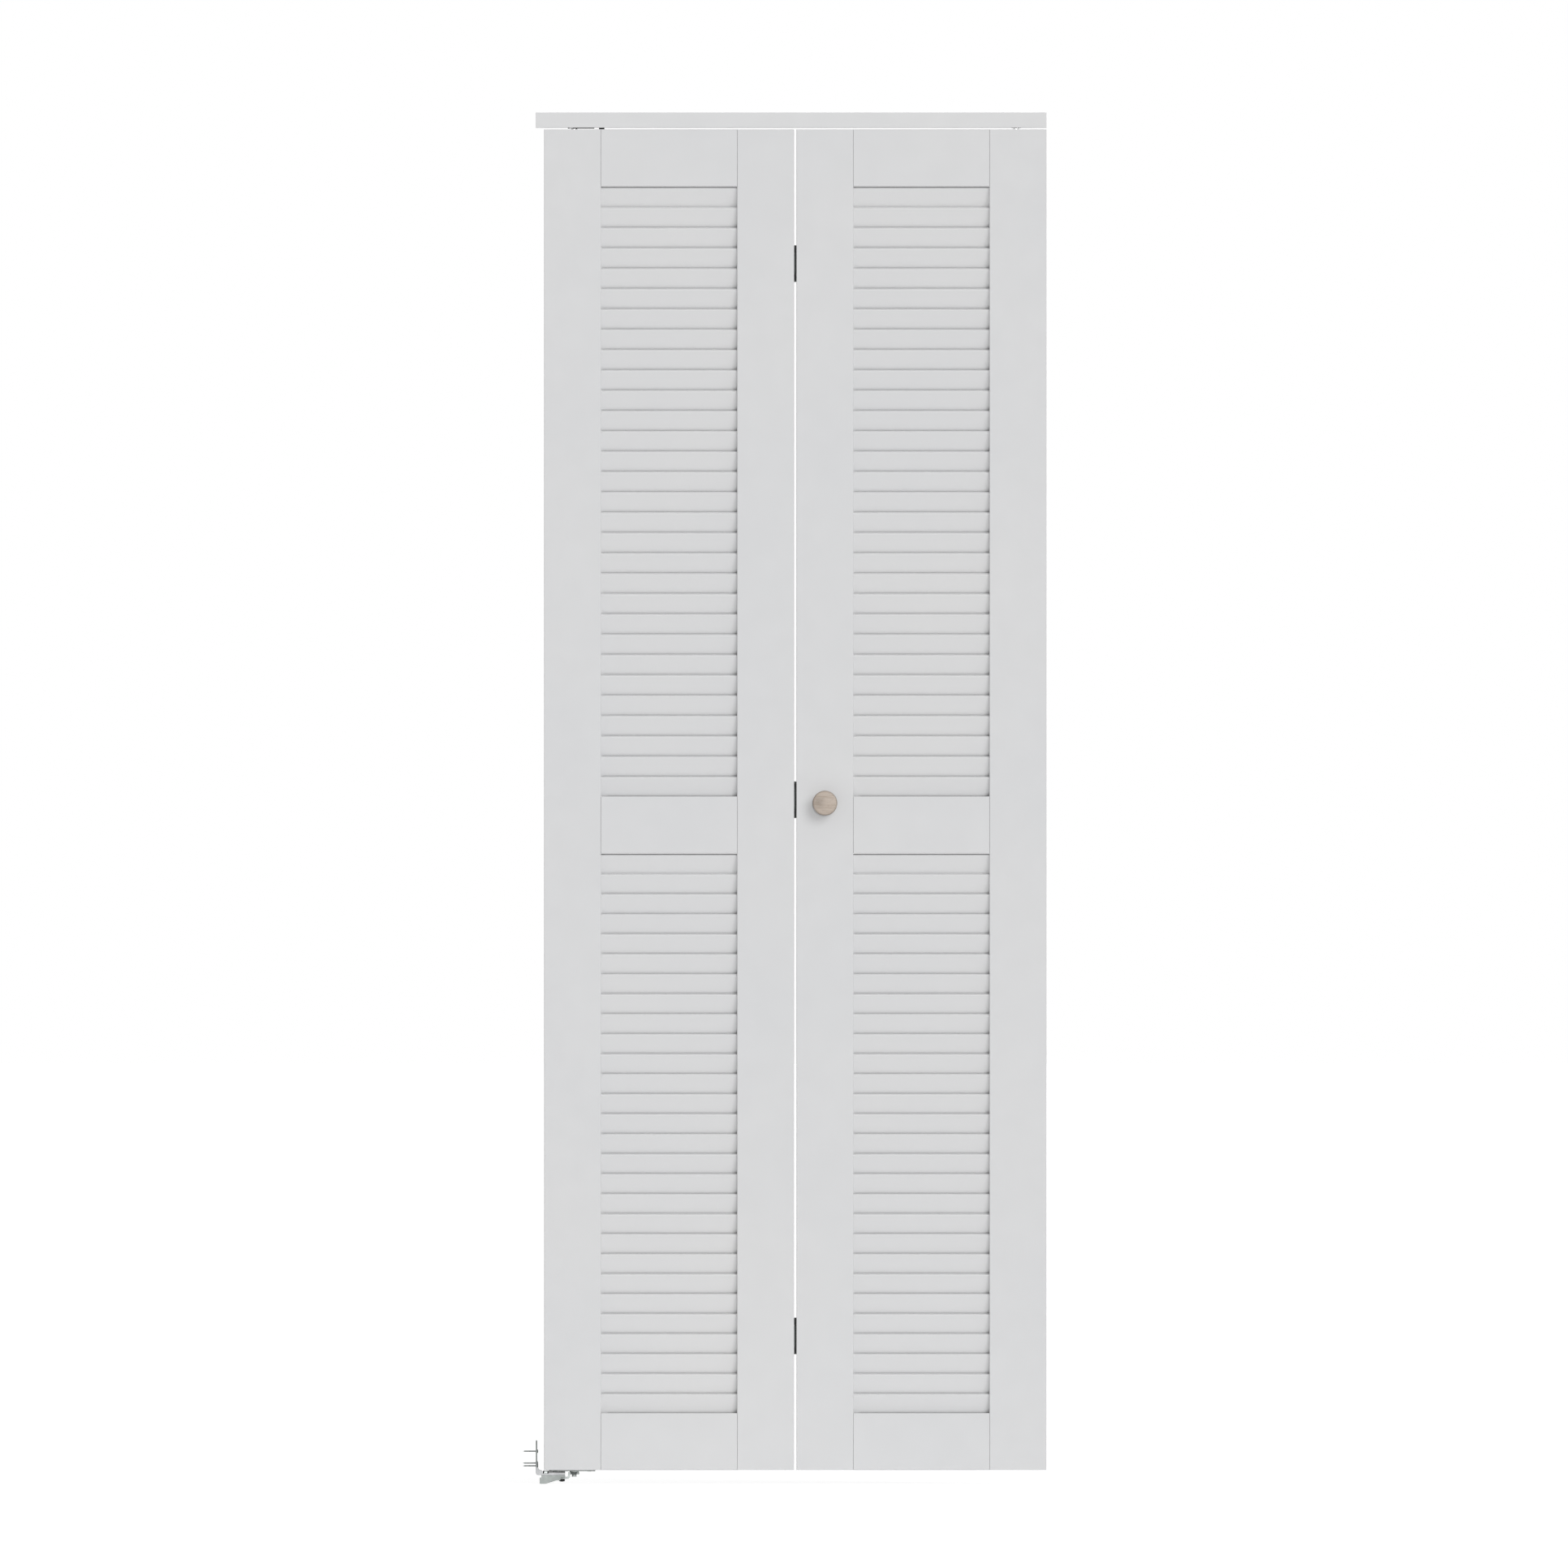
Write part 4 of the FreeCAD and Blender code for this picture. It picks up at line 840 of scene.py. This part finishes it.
def dress_frame_pieces():
    """Finishes and soft edges for the pieces that are shown as the frame has them."""
    for side, stiles in STILES:
        for stile in stiles:
            soften(f"{side}_{stile}", WOOD_EDGE, paint_up)
        for rail in RAILS:
            soften(f"{side}_{rail}", WOOD_EDGE, paint_across)
    soften("head_track", SHEET_EDGE, paint_steel)
    for node_name, edge, material in (
            ("top_pivot_bracket", SHEET_EDGE, saddle_zinc),
            ("top_clamp_bar", SHEET_EDGE, black_zinc),
            ("jamb_bracket", SHEET_EDGE, bracket_two_tone_zinc),
            ("bracket_shoe", FITTING_EDGE, zinc),
            ("pivot_arm", SHEET_EDGE, arm_eye_shaded_zinc),
            ("pivot_plate", SHEET_EDGE, zinc),
            ("arm_bolt", FITTING_EDGE, black_zinc),
            ("arm_nut", FITTING_EDGE, black_zinc),
            ("bottom_pivot_pin", FITTING_EDGE, light_zinc),
            ("top_pivot_pin", FITTING_EDGE, pin_zinc),
            ("guide_pin", FITTING_EDGE, bright_zinc),
            ("hinge_small_leaves", FITTING_EDGE, small_leaf_zinc),
            ("hinge_large_leaves", FITTING_EDGE, large_leaf_zinc)):
        soften(node_name, edge, material)
    for node_name, material in (
            ("top_pivot_socket", nylon), ("guide_socket", nylon), ("guide_wheel", pale_nylon)):
        soften(node_name, FITTING_EDGE, material)


def seen_or_reflected(tree):
    """1 for rays from the camera and for those that metal or glass send on, 0 for plain light."""
    path = add(tree, "LightPath")
    seen = path.outputs["Is Camera Ray"]
    for kind in ("Is Glossy Ray", "Is Transmission Ray"):
        either = add(tree, "Math", operation="MAXIMUM")
        tree.links.new(seen, either.inputs[0])
        tree.links.new(path.outputs[kind], either.inputs[1])
        seen = either.outputs[0]
    return seen


def floor():
    """A large pale floor under the foot of the bracket, which keeps the object's shadow."""
    corners = [
        (across * FLOOR_REACH, deep * FLOOR_REACH, cad_low.z)
        for across, deep in ((-1, -1), (1, -1), (1, 1), (-1, 1))
    ]
    mesh = bpy.data.meshes.new("floor")
    mesh.from_pydata(corners, [], [(0, 1, 2, 3)])
    piece = bpy.data.objects.new("floor", mesh)
    bpy.context.scene.collection.objects.link(piece)
    material, tree, shader = new_material("floor_white")
    shader.inputs["Base Color"].default_value = (FLOOR_COLOUR, FLOOR_COLOUR, FLOOR_COLOUR, 1.0)
    shader.inputs["Roughness"].default_value = FLOOR_ROUGHNESS
    shader.inputs["Specular IOR Level"].default_value = 0.0
    glow = add(tree, "Math", operation="MULTIPLY")
    tree.links.new(seen_or_reflected(tree), glow.inputs[0])
    glow.inputs[1].default_value = FLOOR_GLOW
    shader.inputs["Emission Color"].default_value = (1.0, 1.0, 1.0, 1.0)
    tree.links.new(glow.outputs[0], shader.inputs["Emission Strength"])
    mesh.materials.append(material)


def sky():
    """White where it is seen, and a little weaker as light."""
    world = bpy.data.worlds.new("sky")
    bpy.context.scene.world = world
    world.use_nodes = True
    tree = world.node_tree
    background = tree.nodes["Background"]
    background.inputs["Color"].default_value = (1.0, 1.0, 1.0, 1.0)
    strength = add(tree, "MapRange", To_Min=SKY_STRENGTH, To_Max=1.0)
    tree.links.new(seen_or_reflected(tree), strength.inputs["Value"])
    tree.links.new(strength.outputs["Result"], background.inputs["Strength"])


def soft_light(name, direction, strength, angle):
    """A broad distant light that shines along a direction."""
    light = bpy.data.lights.new(name, "SUN")
    light.energy = strength
    light.angle = angle
    lamp = bpy.data.objects.new(name, light)
    bpy.context.scene.collection.objects.link(lamp)
    lamp.rotation_mode = "QUATERNION"
    lamp.rotation_quaternion = Vector(direction).to_track_quat("-Z", "Y")


def camera():
    """A level long-lens camera in front of the door."""
    lens = bpy.data.cameras.new("camera")
    lens.sensor_width = SENSOR_WIDTH
    lens.lens = SENSOR_WIDTH * CAMERA_DISTANCE / PICTURE_WIDTH
    lens.clip_end = CAMERA_CLIP_SHARE * CAMERA_DISTANCE
    holder = bpy.data.objects.new("camera", lens)
    bpy.context.scene.collection.objects.link(holder)
    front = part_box("left_pivot_stile")[0].y
    holder.location = (PICTURE_CENTRE_X, front - CAMERA_DISTANCE, PICTURE_CENTRE_Z)
    holder.rotation_euler = (math.radians(90), 0.0, 0.0)
    bpy.context.scene.camera = holder


camera()
sky()
soft_light("key", KEY_DIRECTION, KEY_STRENGTH, KEY_ANGLE)
soft_light("fill", FILL_DIRECTION, FILL_STRENGTH, FILL_ANGLE)
floor()
dress_frame_pieces()
chance = random.Random(RANDOM_SEED)
for panel_side in ("left", "right"):
    slat_stack(panel_side, "upper", UPPER_SLATS, chance)
    slat_stack(panel_side, "lower", LOWER_SLATS, chance)
turned_knob()
hinge_fasteners()
jamb_fasteners()
other_fasteners()

bpy.context.scene.view_settings.view_transform = "Standard"
bpy.context.view_layer.update()
